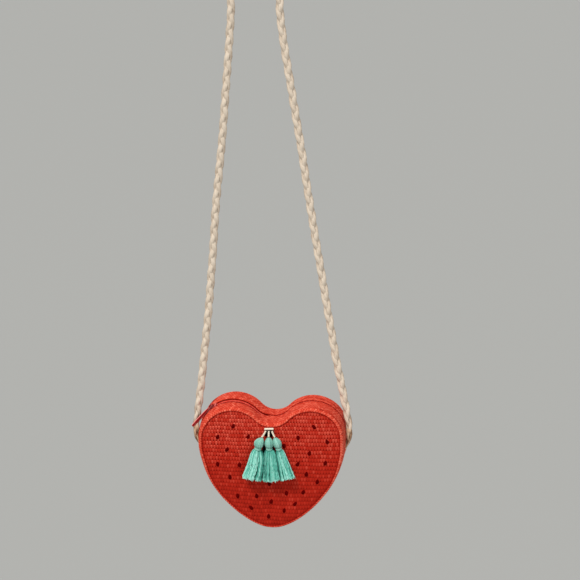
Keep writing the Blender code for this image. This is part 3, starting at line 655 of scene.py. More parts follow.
def face_panel(name, way, mat, node, seed, step=(0.45, 0.62)):
    """A woven heart-shaped face, thick, with a valley along its sewn edge."""
    xs = np.arange(-78.2, 78.2, step[0])
    zs = np.arange(-104.0, 40.0, step[1])
    x, z = (g.copy() for g in np.meshgrid(xs, zs, indexing="ij"))
    near = np.zeros(x.shape, int)
    for i in range(x.shape[0]):
        for j in range(x.shape[1]):
            near[i, j] = RING_TREE.find((x[i, j], 0.0, z[i, j]))[1]
    r = RING[near]
    inside = -((x - r[..., 0]) * r[..., 2] + (z - r[..., 1]) * r[..., 3])
    RIM = 1.9
    ok = inside >= RIM
    cell = ok[:-1, :-1] | ok[1:, :-1] | ok[1:, 1:] | ok[:-1, 1:]
    # a cell with a far corner would fold, so the corner is drawn onto the edge
    x = np.where(ok, x, r[..., 0] - RIM * r[..., 2])
    z = np.where(ok, z, r[..., 1] - RIM * r[..., 3])
    inside = np.maximum(inside, RIM)
    nv = x.shape[1]
    i, j = np.nonzero(cell)
    quads = np.stack([i * nv + j, (i + 1) * nv + j, (i + 1) * nv + j + 1, i * nv + j + 1], -1)
    high, hole, line, tint, painted_fleck_highlight = rows(x, z, 3.1, 4.6, seed)
    seam = turn_radius(z) + 0.3
    free = 1.0 - np.exp(-np.clip(inside - seam, 0, None) / 1.5)
    crown = np.clip(1.0 - (x / 76.0) ** 2 - ((z + 26.0) / 72.0) ** 2, 0.0, 1.0)
    ripple = 0.16 * np.sin(x * 0.09 + 0.6 + seed) * np.sin(z * 0.11 + 1.7) * free
    # the stitches stand out on the upper part, and are flattened towards the point
    crisp = 0.40 + 0.60 * smoothstep(-72.0, 0.0, z)
    fade = 0.66 + 0.34 * np.sin(x * 0.21 + 1.3 * np.sin(z * 0.17)) * np.sin(z * 0.19 + 1.1 * np.sin(x * 0.13) + 0.7)
    relief = (0.12 + 0.38 * crisp) * (high - 0.55) * (0.15 + 0.85 * free)
    depth = 22.15 + 0.62 * free + 0.42 * crown + ripple + relief
    # painted light: darker in the holes and in the lines between rows, where shade falls, with flecks of painted
    # highlight on the stitches' tops, fewer to the right; lighter towards the top and darker towards the point and
    # along the sewn edge, as the light falls
    rise = 0.50 + 0.14 * (high - 0.6) - (0.10 - 0.06 * crisp) * line - (0.74 * crisp - 0.12) * fade * hole
    rise = rise + 0.56 * crisp * fade * painted_fleck_highlight * (0.18 + 0.82 * smoothstep(-50.0, 15.0, z)) * (1 - 0.60 * smoothstep(0, 60, x))
    rise = rise + 0.10 * smoothstep(-60.0, 22.0, z) - 0.03 * smoothstep(-50.0, -95.0, z)
    rise = rise * (0.80 + 0.20 * free)
    used, back = np.unique(quads, return_inverse=True)
    quads = back.reshape(-1, 4)
    front = np.stack([x.ravel()[used], (way * depth).ravel()[used], z.ravel()[used]], -1)
    # rim of the used cells, in order, for the side wall and the inner face
    edges = {}
    for q in quads.tolist():
        for a, c in ((q[0], q[1]), (q[1], q[2]), (q[2], q[3]), (q[3], q[0])):
            if (c, a) in edges:
                del edges[(c, a)]
            else:
                edges[(a, c)] = True
    after = dict(edges.keys())
    start = next(iter(after))
    loop = [start]
    while after[loop[-1]] != start:
        loop.append(after[loop[-1]])
    n = len(front)
    inner = front[loop].copy()
    inner[:, 1] = way * 21.15
    faces = quads.tolist()
    m = len(loop)
    faces += [[loop[k], loop[(k + 1) % m], n + (k + 1) % m, n + k] for k in range(m)]
    faces.append([n + k for k in range(m)])
    verts = np.concatenate([front, inner])
    b = Build()
    b.add(verts, faces,
          np.concatenate([tint.ravel()[used], np.full(m, 0.5)]),
          np.concatenate([rise.ravel()[used], np.full(m, 0.3)]),
          np.concatenate([np.stack([x.ravel()[used], z.ravel()[used], high.ravel()[used] * 0.6 + seed * 9.0], -1),
                          np.zeros((m, 3))]))
    return b.make(name, "bag", mat, [node], soft=True)


face_panel("front_panel_weave", -1, RED_STRAW, "front_panel", 3, (0.41, 0.52))
face_panel("back_panel_weave", 1, CORAL_STRAW, "back_panel", 8)


def face_depth(x, z):
    """How far out the woven face stands at a place, without its strands."""
    _, i, _ = RING_TREE.find((x, 0.0, z))
    r = RING[i]
    inside = -((x - r[0]) * r[2] + (z - r[1]) * r[3])
    free = 1.0 - math.exp(-max(inside - turn_radius(z) - 0.3, 0.0) / 1.5)
    crown = min(max(1.0 - (x / 76.0) ** 2 - ((z + 26.0) / 72.0) ** 2, 0.0), 1.0)
    return 22.15 + 0.62 * free + 0.42 * crown


def turned_edge(r, sign, count):
    """Section of the gusset where it turns over an edge: from the seam, over, to the side."""
    pts = [(-r - 0.62, 22.3), (-r - 0.60, 22.75)]
    for deg in (62, 34, 10):
        a = math.radians(deg)
        pts.append((-r - 0.6 * math.sin(a), 22.75 + 0.75 * math.cos(a)))
    for k in range(count):
        a = math.radians(90.0 * k / (count - 1))
        pts.append((-r + r * math.sin(a), 23.5 - r + r * math.cos(a)))
    pts = np.array(pts)
    pts[:, 1] *= sign
    return pts


SEAM_STITCHES = int(round(2 * HALF_LENGTH / 3.0))


def gusset(name, t0, t1, slot_edges, seed, node, step=0.58):
    """A woven band round the heart. slot_edges(t) gives the band's limits in Y, or None
    where the band turns over that edge of the bag."""
    ts = np.linspace(t0, t1, int(round(abs(t1 - t0) / step)) + 1)
    lo, hi = slot_edges(ts[0])
    span = (HALF if hi is None else hi) - (-HALF if lo is None else lo)
    flat_n = int(round(span / step)) if lo is None and hi is None else int(round(27.0 / step))
    verts, tints, rises, lays = [], [], [], []
    size = None
    for t in ts:
        lo, hi = slot_edges(t)
        px, pz, nx, nz = outline(t)
        tt = abs(t)
        r = float(turn_radius(pz))
        section, grow, inner = [], [], []
        if lo is None:
            edge = turned_edge(r, -1.0, 9)
            section.append(edge[:-1])
            grow.append(np.concatenate([[0, 0, 0.1, 0.3, 0.5], np.linspace(0.6, 1.0, len(edge) - 6)]))
            y0 = -23.5 + r
            inner_lo = [(-1.15, -22.4), (-r - 0.4, -22.35)]
        else:
            section.append(np.array([(-1.12, lo + 0.6), (-0.95, lo + 0.2), (-0.55, lo), (-0.18, lo + 0.16)]))
            grow.append(np.array([0, 0, 0.2, 0.5]))
            y0 = lo + 0.55
            inner_lo = []
        if hi is None:
            edge = turned_edge(r, 1.0, 9)[::-1]
            y1 = 23.5 - r
            tail, tail_grow = edge[1:], np.concatenate([np.linspace(1.0, 0.6, len(edge) - 6), [0.5, 0.3, 0.1, 0, 0]])
            inner_hi = [(-r - 0.4, 22.35), (-1.15, 22.4)]
        else:
            tail = np.array([(-0.18, hi - 0.16), (-0.55, hi), (-0.95, hi - 0.2), (-1.12, hi - 0.6)])
            tail_grow = np.array([0.5, 0.2, 0, 0])
            y1 = hi - 0.55
            inner_hi = []
        ys = np.linspace(y0, y1, flat_n)
        section.append(np.stack([np.zeros(flat_n), ys], -1))
        grow.append(np.ones(flat_n))
        section.append(tail)
        grow.append(tail_grow)
        section = np.concatenate(section)
        grow = np.concatenate(grow)
        w = run_lengths(section)
        w += section[0, 1] if lo is not None else -23.5 - 3.0
        direction = np.gradient(section, axis=0)
        direction /= np.linalg.norm(direction, axis=1)[:, None] + 1e-12
        normal = np.stack([direction[:, 1], -direction[:, 0]], -1)
        high, tint = weave(np.full(len(w), t + (0.6 if t > 0 else 0.0)), w, 3.0, 2.6, seed, reach=(0.47, 0.72), wander=0.8)
        ends = min(abs(t - t0), abs(t - t1))
        close = 1.0 - 0.75 * math.exp(-ends / 0.7)
        lift = 0.40 * (high - 0.5) * grow * close
        shade = np.zeros(len(w))
        # the side belly bulges a little, but not under the strap's sewn ends
        belly = np.zeros(len(w))
        if lo is None and hi is None:
            belly = 1.1 * np.clip(1 - (section[:, 1] / 21.0) ** 2, 0, 1) * smoothstep(0.0, 30.0, ends)
            keep = 1.0 - np.exp(-((pz + 11.0) / 16.0) ** 2 - ((section[:, 1] - HINGE_Y) / 7.5) ** 2)
            belly = belly * keep
            lift = lift * (0.35 + 0.65 * keep)
        section = section + normal * lift[:, None]
        # painted highlight: the turned edges are made paler beside each seam stitch, where they catch the light
        painted_seam_highlight = np.zeros(len(w))
        scallop = 0.12 + 0.06 * math.cos(2 * math.pi * (t + HALF_LENGTH) / (2 * HALF_LENGTH / SEAM_STITCHES))
        if lo is None:
            painted_seam_highlight[5:9] = scallop
        if hi is None:
            painted_seam_highlight[-9:-5] = scallop
        # the hems slope down to the zipper, and crease lines run along the right lobe; painted shade darkens the hem
        # edges, the creases and the rim at the right shoulder
        x_here = px
        if hi is not None:
            shut = float(smoothstep(-16.2, -2.0, x_here))
            section[:, 0] -= 0.75 * (1 - 0.85 * shut) * smoothstep(3.2, 0.2, hi - section[:, 1]) * (section[:, 1] > -12)
            shade += (0.20 + 0.34 * shut) * np.exp(-(np.clip(hi - section[:, 1] - 0.3, 0, None) / (0.7 + 0.75 * shut)) ** 2)
        if lo is not None:
            shut = float(smoothstep(-16.2, -2.0, x_here))
            section[:, 0] -= (0.40 - 0.25 * shut) * smoothstep(3.0, 0.2, section[:, 1] - lo) * (section[:, 1] < 14)
            shade += (0.05 + 0.38 * shut) * np.exp(-(np.clip(section[:, 1] - lo - 0.2, 0, None) / (0.4 + 0.5 * shut)) ** 2)
        right_lobe = float(smoothstep(0.0, 22.0, x_here) * smoothstep(1.0, 15.0, ends)) * (pz > 5)
        if right_lobe > 0 and (lo is not None or hi is not None):
            if hi is not None:
                fold = right_lobe * np.exp(-((section[:, 1] - hi + 5.6) / 0.65) ** 2)
                section[:, 0] -= 0.40 * fold
                shoulder = float(smoothstep(44.0, 56.0, x_here) * smoothstep(1.0, 12.0, ends))
                rim = shoulder * np.exp(-((section[:, 1] + 23.5 - r - 0.5) / 1.0) ** 2)
                section[:, 0] -= 0.55 * rim
                shade += 0.15 * fold + 0.42 * rim
            else:
                fold = right_lobe * np.exp(-((section[:, 1] - lo - 8.2) / 0.7) ** 2)
                section[:, 0] -= 0.5 * fold
                shade += 0.42 * fold
        section[:, 0] += belly - 0.55 * math.exp(-ends / 0.8) * grow
        n_in = 4
        inner_pts = np.array((inner_hi + inner_lo) if inner_hi + inner_lo else [(-1.15, y1), (-1.15, y0)])
        if hi is not None and lo is None:
            inner_pts = np.array([(-1.15, (hi - 0.6) * 0.5 - 11.2), (-1.15, -22.4), (-r - 0.4, -22.35)])
        elif lo is not None and hi is None:
            inner_pts = np.array([(-r - 0.4, 22.35), (-1.15, 22.4), (-1.15, (lo + 0.6) * 0.5 + 11.2)])
        full = np.concatenate([section, inner_pts])
        size = len(full)
        verts.append(np.stack([px + full[:, 0] * nx, full[:, 1], pz + full[:, 0] * nz], -1))
        k = len(inner_pts)
        tints.append(np.concatenate([tint, np.full(k, 0.5)]))
        # painted light: the right flank is made paler, and the raised strands paler than the gaps between them
        painted_flank_light = 0.07 * float(smoothstep(0.55, 0.92, nx))
        rises.append(np.concatenate([painted_seam_highlight + 0.25 + painted_flank_light + 0.46 * high * (0.55 + 0.45 * grow) - shade, np.full(k, 0.3)]))
        lays.append(np.concatenate([np.stack([w, np.full(len(w), t), high * 0.5 + seed * 7.0], -1), np.zeros((k, 3))]))
    verts = np.array(verts)
    n = len(ts)
    faces = grid_faces(n, size, closed_v=True).tolist()
    faces.append(list(range(size)))
    faces.append(list(range((n - 1) * size, n * size)))
    b = Build()
    b.add(verts, faces, np.array(tints), np.array(rises), np.array(lays))
    return b.make(name, "bag", CORAL_STRAW, [node], soft=True)


def lower_outline(t):
    return (None, None)


def front_strip(t):
    """The front strip's hem closes over the teeth towards the right."""
    x = outline(t)[0]
    return (None, -5.6 + 8.4 * float(smoothstep(-16.2, -2.0, x)))


def back_strip(t):
    return (3.6, None)


_outline = outline


def outline_round(t):
    """outline(), going on past the point to the left side."""
    if t > HALF_LENGTH:
        t = t - 2 * HALF_LENGTH
    return _outline(t)


outline = outline_round
gusset("gusset_lower_weave", T_SEAM + 0.15, 2 * HALF_LENGTH - T_SEAM - 0.15, lower_outline, 5, "side_gusset")
gusset("gusset_top_front_weave", -T_SEAM + 0.15, T_SEAM - 0.15, front_strip, 6, "top_gusset_front")
gusset("gusset_top_back_weave", -T_SEAM + 0.15, T_SEAM - 0.15, back_strip, 9, "top_gusset_back")

# ---------------------------------------------------------------- seams
for label, way in (("front", -1.0), ("back", 1.0)):
    b = Build()
    count = SEAM_STITCHES
    for k in range(count):
        t = -HALF_LENGTH + (k + 0.5) * 2 * HALF_LENGTH / count
        px, pz, nx, nz = outline(t)
        r = float(turn_radius(pz)) + 0.40
        jig = hashed(float(k), 1.0, 4.0) - 0.5
        centre = (px - r * nx, way * (23.16), pz - r * nz)
        along = np.array([-nz, 0.0, nx])
        along = along + np.array([nx, 0, nz]) * 0.10 * jig
        dash(b, centre, along / np.linalg.norm(along), (0.0, way, 0.0), 2.3, 0.52,
             tint=0.3 + 0.5 * hashed(float(k), 2.0, 4.0))
    b.make("seam_stitches_" + label, "bag", RED_THREAD, soft=True)

# hem stitches beside the zipper
for label, strip, side in (("front", front_strip, -1.0), ("back", back_strip, 1.0)):
    b = Build()
    count = int(round((2 * T_SEAM - 8) / 2.9))
    for k in range(count):
        t = -T_SEAM + 4 + (k + 0.5) * (2 * T_SEAM - 8) / count
        px, pz, nx, nz = outline(t)
        y = strip(t)[1] - 2.1 if side < 0 else strip(t)[0] + 2.1
        dash(b, (px - 0.30 * nx, y, pz - 0.30 * nz), (-nz, 0.0, nx), (nx, 0.0, nz), 2.0, 0.26,
             tint=0.4 + 0.5 * hashed(float(k), 3.0, 4.0))
    b.make("hem_stitches_" + label, "bag", RED_THREAD, soft=True)

# ---------------------------------------------------------------- seeds
SEEDS = [
    (-41.9, 14.5, 25), (-59.1, 1.0, 20), (-25.3, 2.5, 20), (-48.9, -14.0, 30), (-59.3, -32.1, 0),
    (-35.2, -32.1, 5), (-45.8, -47.6, -5), (-37.4, -70.8, -5), (-16.4, -70.2, 0), (-22.7, -85.1, -35),
    (-0.2, -76.7, 15), (-3.2, -95.2, 0), (14.1, -87.5, 5), (26.2, -78.9, 35), (16.6, -65.8, 0),
    (35.3, -64.0, 25), (50.8, -50.7, 10), (38.7, -41.8, 10), (29.3, -29.5, 30), (59.6, -27.5, 15),
    (42.1, -16.0, 10), (61.5, -1.7, -15), (29.6, 2.5, 0), (47.0, 15.9, -30), (14.1, -7.9, 0),
    (-2.2, -54.5, 0),
]
b = Build()
for k, (sx, sz, lean) in enumerate(SEEDS):
    v = np.linspace(-1, 1, 27)
    a = np.linspace(0, 2 * math.pi, 19)[:-1]
    half = 1.84 * np.sqrt(np.clip(1 - v ** 2, 0.02, 1)) * (1 - 0.20 * v)
    vv, aa = np.meshgrid(v, a, indexing="ij")
    satin = 1.0 + 0.06 * np.cos(vv * 26 + 2.2 * np.cos(aa))
    u = half[:, None] * np.cos(aa)
    front = np.sin(aa) > 0
    y = np.where(front, np.sin(aa) * 0.85 * satin, np.sin(aa) * 0.35) * np.sqrt(np.clip(1 - vv ** 2, 0.02, 1)) ** 0.8
    w = 2.95 * vv
    c, s = math.cos(math.radians(lean)), math.sin(math.radians(lean))
    base = face_depth(sx, sz) * (1.0 - 0.075 * float(smoothstep(-20.0, -104.0, sz))) + 0.12
    verts = np.stack([sx + u * c + w * s, -(base + y), sz - u * s + w * c], -1)
    faces = grid_faces(27, 18, closed_v=True).tolist()
    faces.append(list(range(18)))
    faces.append(list(range(26 * 18, 27 * 18)))
    # painted highlight: the satin ridges are paler
    b.add(verts, faces, 0.3 + 0.5 * hashed(float(k), 5.0, 1.0), 0.35 + 0.5 * (satin - 0.94) * 4,
          np.stack([vv * 4 + 1.6 * np.cos(aa), u, np.full(u.shape, k * 5.0)], -1))
b.make("seeds_satin", "bag", SEED_THREAD)

# ---------------------------------------------------------------- zipper
for label, way in (("front", -1.0), ("back", 1.0)):
    b = Build()
    ts = np.linspace(-T_SEAM + 1.6, T_SEAM - 1.6, 300)
    rows = []
    for t in ts:
        px, pz, nx, nz = outline(t)
        # beyond the stops the two tapes are drawn together
        apart = float(smoothstep(-lobe_station(27.5), -lobe_station(31.0), t)
                      * (1 - smoothstep(lobe_station(14.6), lobe_station(12.6), t)))
        near = 0.05 + 2.85 * apart
        ys = near + (12.9 - near) * np.linspace(0, 1, 22)
        rib = 0.07 * np.cos(ys * 2 * math.pi / 1.0) + 0.05 * math.cos(t * 2 * math.pi / 1.6)
        top = -2.2 + rib
        off = np.concatenate([top, [-2.75, -2.75, -2.75]])
        yy = ZIP_Y + way * np.concatenate([ys, [12.9, 7.9, near]])
        rows.append(np.stack([px + off * nx, yy, pz + off * nz], -1))
    rows = np.array(rows)
    size = rows.shape[1]
    faces = grid_faces(len(ts), size, closed_v=True).tolist()
    faces += [list(range(size)), list(range((len(ts) - 1) * size, len(ts) * size))]
    lay = np.stack(np.broadcast_arrays(np.arange(size)[None, :] * 0.5, ts[:, None], 0.0), -1)
    b.add(rows, faces, 0.5, 0.55, lay)
    b.make("zipper_tape_%s_cloth" % label, "bag", TAPE, ["zipper_tape_" + label], soft=True)

    b = Build()
    t = -lobe_station(36.0)
    k = 0
    while t < lobe_station(21.2):
        tt = t + (0.0 if way < 0 else 0.62)
        px, pz, nx, nz = outline(tt)
        along = np.array([-nz, 0.0, nx])
        if outline(tt + 0.1)[0] < px and pz > 0:
            along = -along
        # one tooth: a rounded block with a blunt head past the middle
        prof_y = np.array([2.55, 2.3, 1.2, 0.2, -0.35, -0.62])
        half_t = np.array([0.34, 0.44, 0.40, 0.33, 0.44, 0.26])
        half_h = np.array([0.85, 1.0, 1.0, 0.92, 0.95, 0.6])
        a = np.arange(8) * math.pi / 4 + math.pi / 8
        ring = []
        for yq, ht, hh in zip(prof_y, half_t, half_h):
            e = np.abs(np.cos(a)) ** 0.5 * np.sign(np.cos(a)) * ht
            h = np.abs(np.sin(a)) ** 0.5 * np.sign(np.sin(a)) * hh - 2.32
            ring.append(np.stack([px + h * nx + e * along[0], np.full(8, ZIP_Y + way * yq),
                                  pz + h * nz + e * along[2]], -1))
        faces = grid_faces(6, 8, closed_v=True).tolist() + [list(range(8)), list(range(40, 48))]
        # painted shade: the front half of the front row of teeth is darkened into a dark line along the front hem
        lit = np.where(way * prof_y < -1.0, 0.12, 0.75) if way < 0 else np.full(6, 0.8)
        b.add(np.array(ring), faces, hashed(float(k), 7.0, way), np.repeat(lit, 8),
              np.stack([np.tile(a, (6, 1)), np.tile(prof_y[:, None], (1, 8)), np.full((6, 8), k * 3.0)], -1))
        t += 1.24
        k += 1
    b.make("zipper_teeth_" + label, "bag", TEETH, ["zipper_coil_" + label], soft=True)


def soften(node, width, mat):
    ob = nodes[node]
    bevel = ob.modifiers.new("soft_edges", "BEVEL")
    bevel.width = width * 0.001
    bevel.segments = 2
    bevel.limit_method = "ANGLE"
    bevel.angle_limit = math.radians(35)
    for slot_ in ob.material_slots:
        slot_.material = mat
    if not ob.material_slots:
        ob.data.materials.append(mat)


soften("zipper_top_stop", 0.3, SLIDER_ENAMEL)
soften("zipper_bottom_stop", 0.3, SLIDER_ENAMEL)
soften("zipper_slider", 0.14, SLIDER_ENAMEL)

# the pull: a ring round the slider's bridge and a plate that hangs turned to the front
PHI = math.radians(131.0)
OUT = np.array([math.cos(PHI), 0.0, math.sin(PHI)])
ALONG = np.array([-math.sin(PHI), 0.0, math.cos(PHI)])
PIVOT = np.array([-LOBE_X, ZIP_Y, 0.0]) + OUT * (LOBE_R + 1.35)
SKEW = math.radians(16.0)
SAG = math.radians(5.5)
PULL_DIR = ALONG * math.cos(SKEW) - np.array([0.0, 1.0, 0.0]) * math.sin(SKEW)
PULL_DIR = PULL_DIR * math.cos(SAG) - OUT * math.sin(SAG)
PULL_SIDE = np.cross(OUT, PULL_DIR)


def pull_point(s, w, h, turn):
    """A place on the pull: s along it, w across and h out, turned about its own line."""
    c, q = np.cos(turn), np.sin(turn)
    return (PIVOT + np.multiply.outer(s, PULL_DIR) + np.multiply.outer(w * c - h * q, PULL_SIDE)
            + np.multiply.outer(w * q + h * c, OUT))


b = Build()
a = np.linspace(0, 2 * math.pi, 41)[:-1]
loop_s = 1.55 + 2.0 * np.sign(np.cos(a)) * np.abs(np.cos(a)) ** 0.75
loop_w = 2.15 * np.sign(np.sin(a)) * np.abs(np.sin(a)) ** 0.75
q = np.arange(10) * 2 * math.pi / 10
ring = []
for ls, lw, ang in zip(loop_s, loop_w, a):
    out_s, out_w = math.cos(ang), math.sin(ang)
    ring.append(pull_point(ls + 0.52 * np.cos(q) * out_s, lw + 0.52 * np.cos(q) * out_w, 0.5 * np.sin(q), 0.0 * q))
b.add(np.array(ring), grid_faces(40, 10, closed_u=True, closed_v=True), 0.5, 0.2)
s_ = np.array([3.2, 3.5, 4.2, 5.2, 6.6, 8.5, 11.0, 14.0, 17.0, 20.0, 23.0, 26.0, 28.0, 29.2, 30.0, 30.5, 30.85, 31.0])
w_ = np.interp(s_, [3.2, 3.5, 4.2, 5.2, 8.5, 23.0, 29.2, 30.0, 30.5, 30.85, 31.0],
               [1.8, 2.4, 2.5, 2.1, 1.9, 2.05, 1.8, 1.6, 1.3, 0.8, 0.35])
turn_ = PULL_TURN = math.radians(-44.0)
plate = []
for sv, wv in zip(s_, w_):
    tw = turn_ * float(smoothstep(3.4, 10.0, sv))
    # flat back, a raised rim on both sides and a shallow channel between them
    prof = [(-1.0, 0.0), (-0.98, 0.34), (-0.82, 0.52), (-0.58, 0.48), (-0.40, 0.30), (0.0, 0.27), (0.40, 0.30),
            (0.58, 0.48), (0.82, 0.52), (0.98, 0.34), (1.0, 0.0), (0.98, -0.34), (0.82, -0.50), (0.0, -0.46),
            (-0.82, -0.50), (-0.98, -0.34)]
    u_ = np.array([x[0] for x in prof]) * wv
    h_ = np.array([x[1] for x in prof])
    plate.append(pull_point(np.full(16, sv), u_, h_, np.full(16, tw)))
faces = grid_faces(len(s_), 16, closed_v=True).tolist() + [list(range(16)), list(range((len(s_) - 1) * 16, len(s_) * 16))]
# painted highlight: the plate's upper rim is given the enamel's pale edge colour, where the light catches it
lit = np.array([1.0, 1.0, 1.0, 0.85, 0.3, 0.1, 0.0, 0.0, 0.0, 0.0, 0.0, 0.0, 0.0, 0.0, 0.3, 0.8])
b.add(np.array(plate), faces, 0.5, np.tile(lit, len(s_)))
for face in (1, -1):                                # the rolled rim of its small eye
    eye = []
    for ang in np.linspace(0, 2 * math.pi, 19)[:-1]:
        cs, cw = math.cos(ang), math.sin(ang)
        eye.append(pull_point(27.0 + (0.8 + 0.26 * np.cos(q)) * cs, (0.8 + 0.26 * np.cos(q)) * cw,
                              face * 0.36 + 0.26 * np.sin(q), np.full(10, turn_)))
    b.add(np.array(eye), grid_faces(18, 10, closed_u=True, closed_v=True), 0.5, 0.3)
b.make("zipper_pull_plate", "pull", PULL_ENAMEL, ["zipper_pull"], sharp=50.0)

# ---------------------------------------------------------------- lining
def lining_band(name, t0, t1, lo, hi, off, nodes_):
    ts = np.linspace(t0, t1, int(abs(t1 - t0) / 2.0) + 1)
    ys = np.linspace(lo, hi, max(int((hi - lo) / 2.0), 6) + 1)
    outer, inner = [], []
    for t in ts:
        px, pz, nx, nz = outline(t)
        wav = off - 0.12 - 0.12 * np.sin(ys * 0.5 + t * 0.16) * np.cos(t * 0.23 + 1.0)
        outer.append(np.stack([px + wav * nx, ys, pz + wav * nz], -1))
        inner.append(np.stack([px + (wav - 0.3) * nx, ys, pz + (wav - 0.3) * nz], -1))
    rows = np.concatenate([np.array(outer), np.array(inner)[:, ::-1]], 1)
    size = rows.shape[1]
    faces = grid_faces(len(ts), size, closed_v=True).tolist()
    faces += [list(range(size)), list(range((len(ts) - 1) * size, len(ts) * size))]
    b = Build()
    b.add(rows, faces, 0.5, 0.6, rows)
    b.make(name, "bag", LINING, nodes_, soft=True)


lining_band("lining_side_cloth", T_SEAM + 1.5, 2 * HALF_LENGTH - T_SEAM - 1.5, -20.2, 20.2, -1.9, ["lining_side"])
lining_band("lining_top_front_cloth", -T_SEAM + 1.5, T_SEAM - 1.5, -20.2, -7.6, -3.6, ["lining_top_front"])
lining_band("lining_top_back_cloth", -T_SEAM + 1.5, T_SEAM - 1.5, 5.6, 20.2, -3.6, ["lining_top_back"])
for label, way in (("front", -1.0), ("back", 1.0)):
    b = Build()
    rings = []
    ts = np.linspace(-HALF_LENGTH, HALF_LENGTH, 241)[:-1]
    base = np.array([outline(t) for t in ts])
    middle = np.array([0.0, -22.0])
    for f in np.linspace(1.0, 0.02, 26):
        px = (base[:, 0] - 3.2 * base[:, 2]) * f + middle[0] * (1 - f)
        pz = (base[:, 1] - 3.2 * base[:, 3]) * f + middle[1] * (1 - f)
        yy = way * (20.62 + 0.12 * np.sin(px * 0.13 + 1) * np.sin(pz * 0.17))
        rings.append(np.stack([px, yy, pz], -1))
    front_side = np.array(rings)
    back_side = front_side[::-1] - np.array([0.0, way * 0.3, 0.0])
    rings = np.concatenate([front_side, back_side])
    faces = grid_faces(len(rings), 240, closed_u=True, closed_v=True).tolist()
    b.add(rings, faces, 0.5, 0.6, rings)
    b.make("lining_%s_cloth" % label, "bag", LINING, ["lining_" + label], soft=True)

# ---------------------------------------------------------------- tassels
rng = np.random.default_rng(11)

# the tab: cream thread wound over a short bar
b = Build()
s = np.linspace(-5.2, 5.2, 105)
ends = np.clip((5.2 - np.abs(s)) / 0.9, 0.0, 1.0)
ends = np.sqrt(1 - (1 - ends) ** 2) * 0.92 + 0.08
path = np.stack([-2.4 + s, np.full(len(s), -24.45), 12.7 + 0.25 * s / 5.2], -1)
wound = np.arange(len(s))
tube(b, path, 1.22 * ends, 14, across=(0.28, 0.0, 1.0), squash=0.78,
     ripple=lambda q, a: 1.0 + 0.05 * np.cos(q * 2 * math.pi / 0.95 + a), rise=0.72)
b.make("tassel_tab_thread", "bag", CREAM, ["tassel_tab"])

# painted shadow: a patch of near-black thread under the tab, among the three cords where they come out, and a dark line
# just under the tab, stand in for the deep shade there
b = Build()
for k, x in enumerate(np.linspace(-7.4, 3.0, 18)):
    f = np.linspace(-1, 1, 11)
    half = 4.2 - 1.6 * abs((x + 2.2) / 5.2) ** 3
    path = np.stack([x + 0.14 * np.sin(f * 3 + k), -23.42 - 0.22 * np.sqrt(np.clip(1 - f ** 2, 0, 1)),
                     7.0 - 0.5 * abs(x + 2.2) / 5.2 + half * f], -1)
    tube(b, path, 0.36 * (0.55 + 0.45 * np.sqrt(np.clip(1 - f ** 2, 0, 1))), 6, tint=0.3 + 0.4 * hashed(float(k), 1.0, 2.0),
         rise=0.1)
f = np.linspace(-1, 1, 25)
tube(b, np.stack([-2.5 + 5.4 * f, -25.15 - 0.35 * (1 - f ** 2), 10.75 + 0.25 * f], -1), 0.42 * (1 - 0.5 * f ** 8), 8,
     tint=0.5, rise=0.1)
b.make("tassel_cord_shadow_thread", "bag", SHADOW_THREAD)


def turned(build, centre, down, side, profile, flat, around, ridge, tint=0.5, rise=None, steps=40, lean=0.0):
    """A turned shape with ridges round it, about an axis that runs down from centre."""
    back = np.cross(down, side)
    profile = np.array(profile, float)
    s = run_lengths(profile)
    want = np.linspace(0, s[-1], steps)
    r, z = np.interp(want, s, profile[:, 0]), np.interp(want, s, profile[:, 1])
    a = np.arange(around) * 2 * math.pi / around
    g = ridge(a[None, :], z[:, None])
    rr = r[:, None] * g
    verts = (centre + (-z)[:, None, None] * down + (rr * np.cos(a))[..., None] * side
             + (rr * flat * np.sin(a))[..., None] * back)
    verts = verts + (lean * np.clip(1 + z / 7.0, 0, 1) ** 2)[:, None, None] * side
    faces = grid_faces(steps, around, closed_v=True).tolist()
    faces += [list(range(around)), list(range((steps - 1) * around, steps * around))]
    lay = np.stack([np.broadcast_to(a * 4.0, rr.shape), np.broadcast_to(z[:, None], rr.shape),
                    np.zeros(rr.shape)], -1)
    # painted shade: unless a tone is given, the grooves between the laid strands are darker and their ridges paler
    build.add(verts, faces, tint, 0.55 + 3.0 * (g - 1.0) if rise is None else rise, lay)


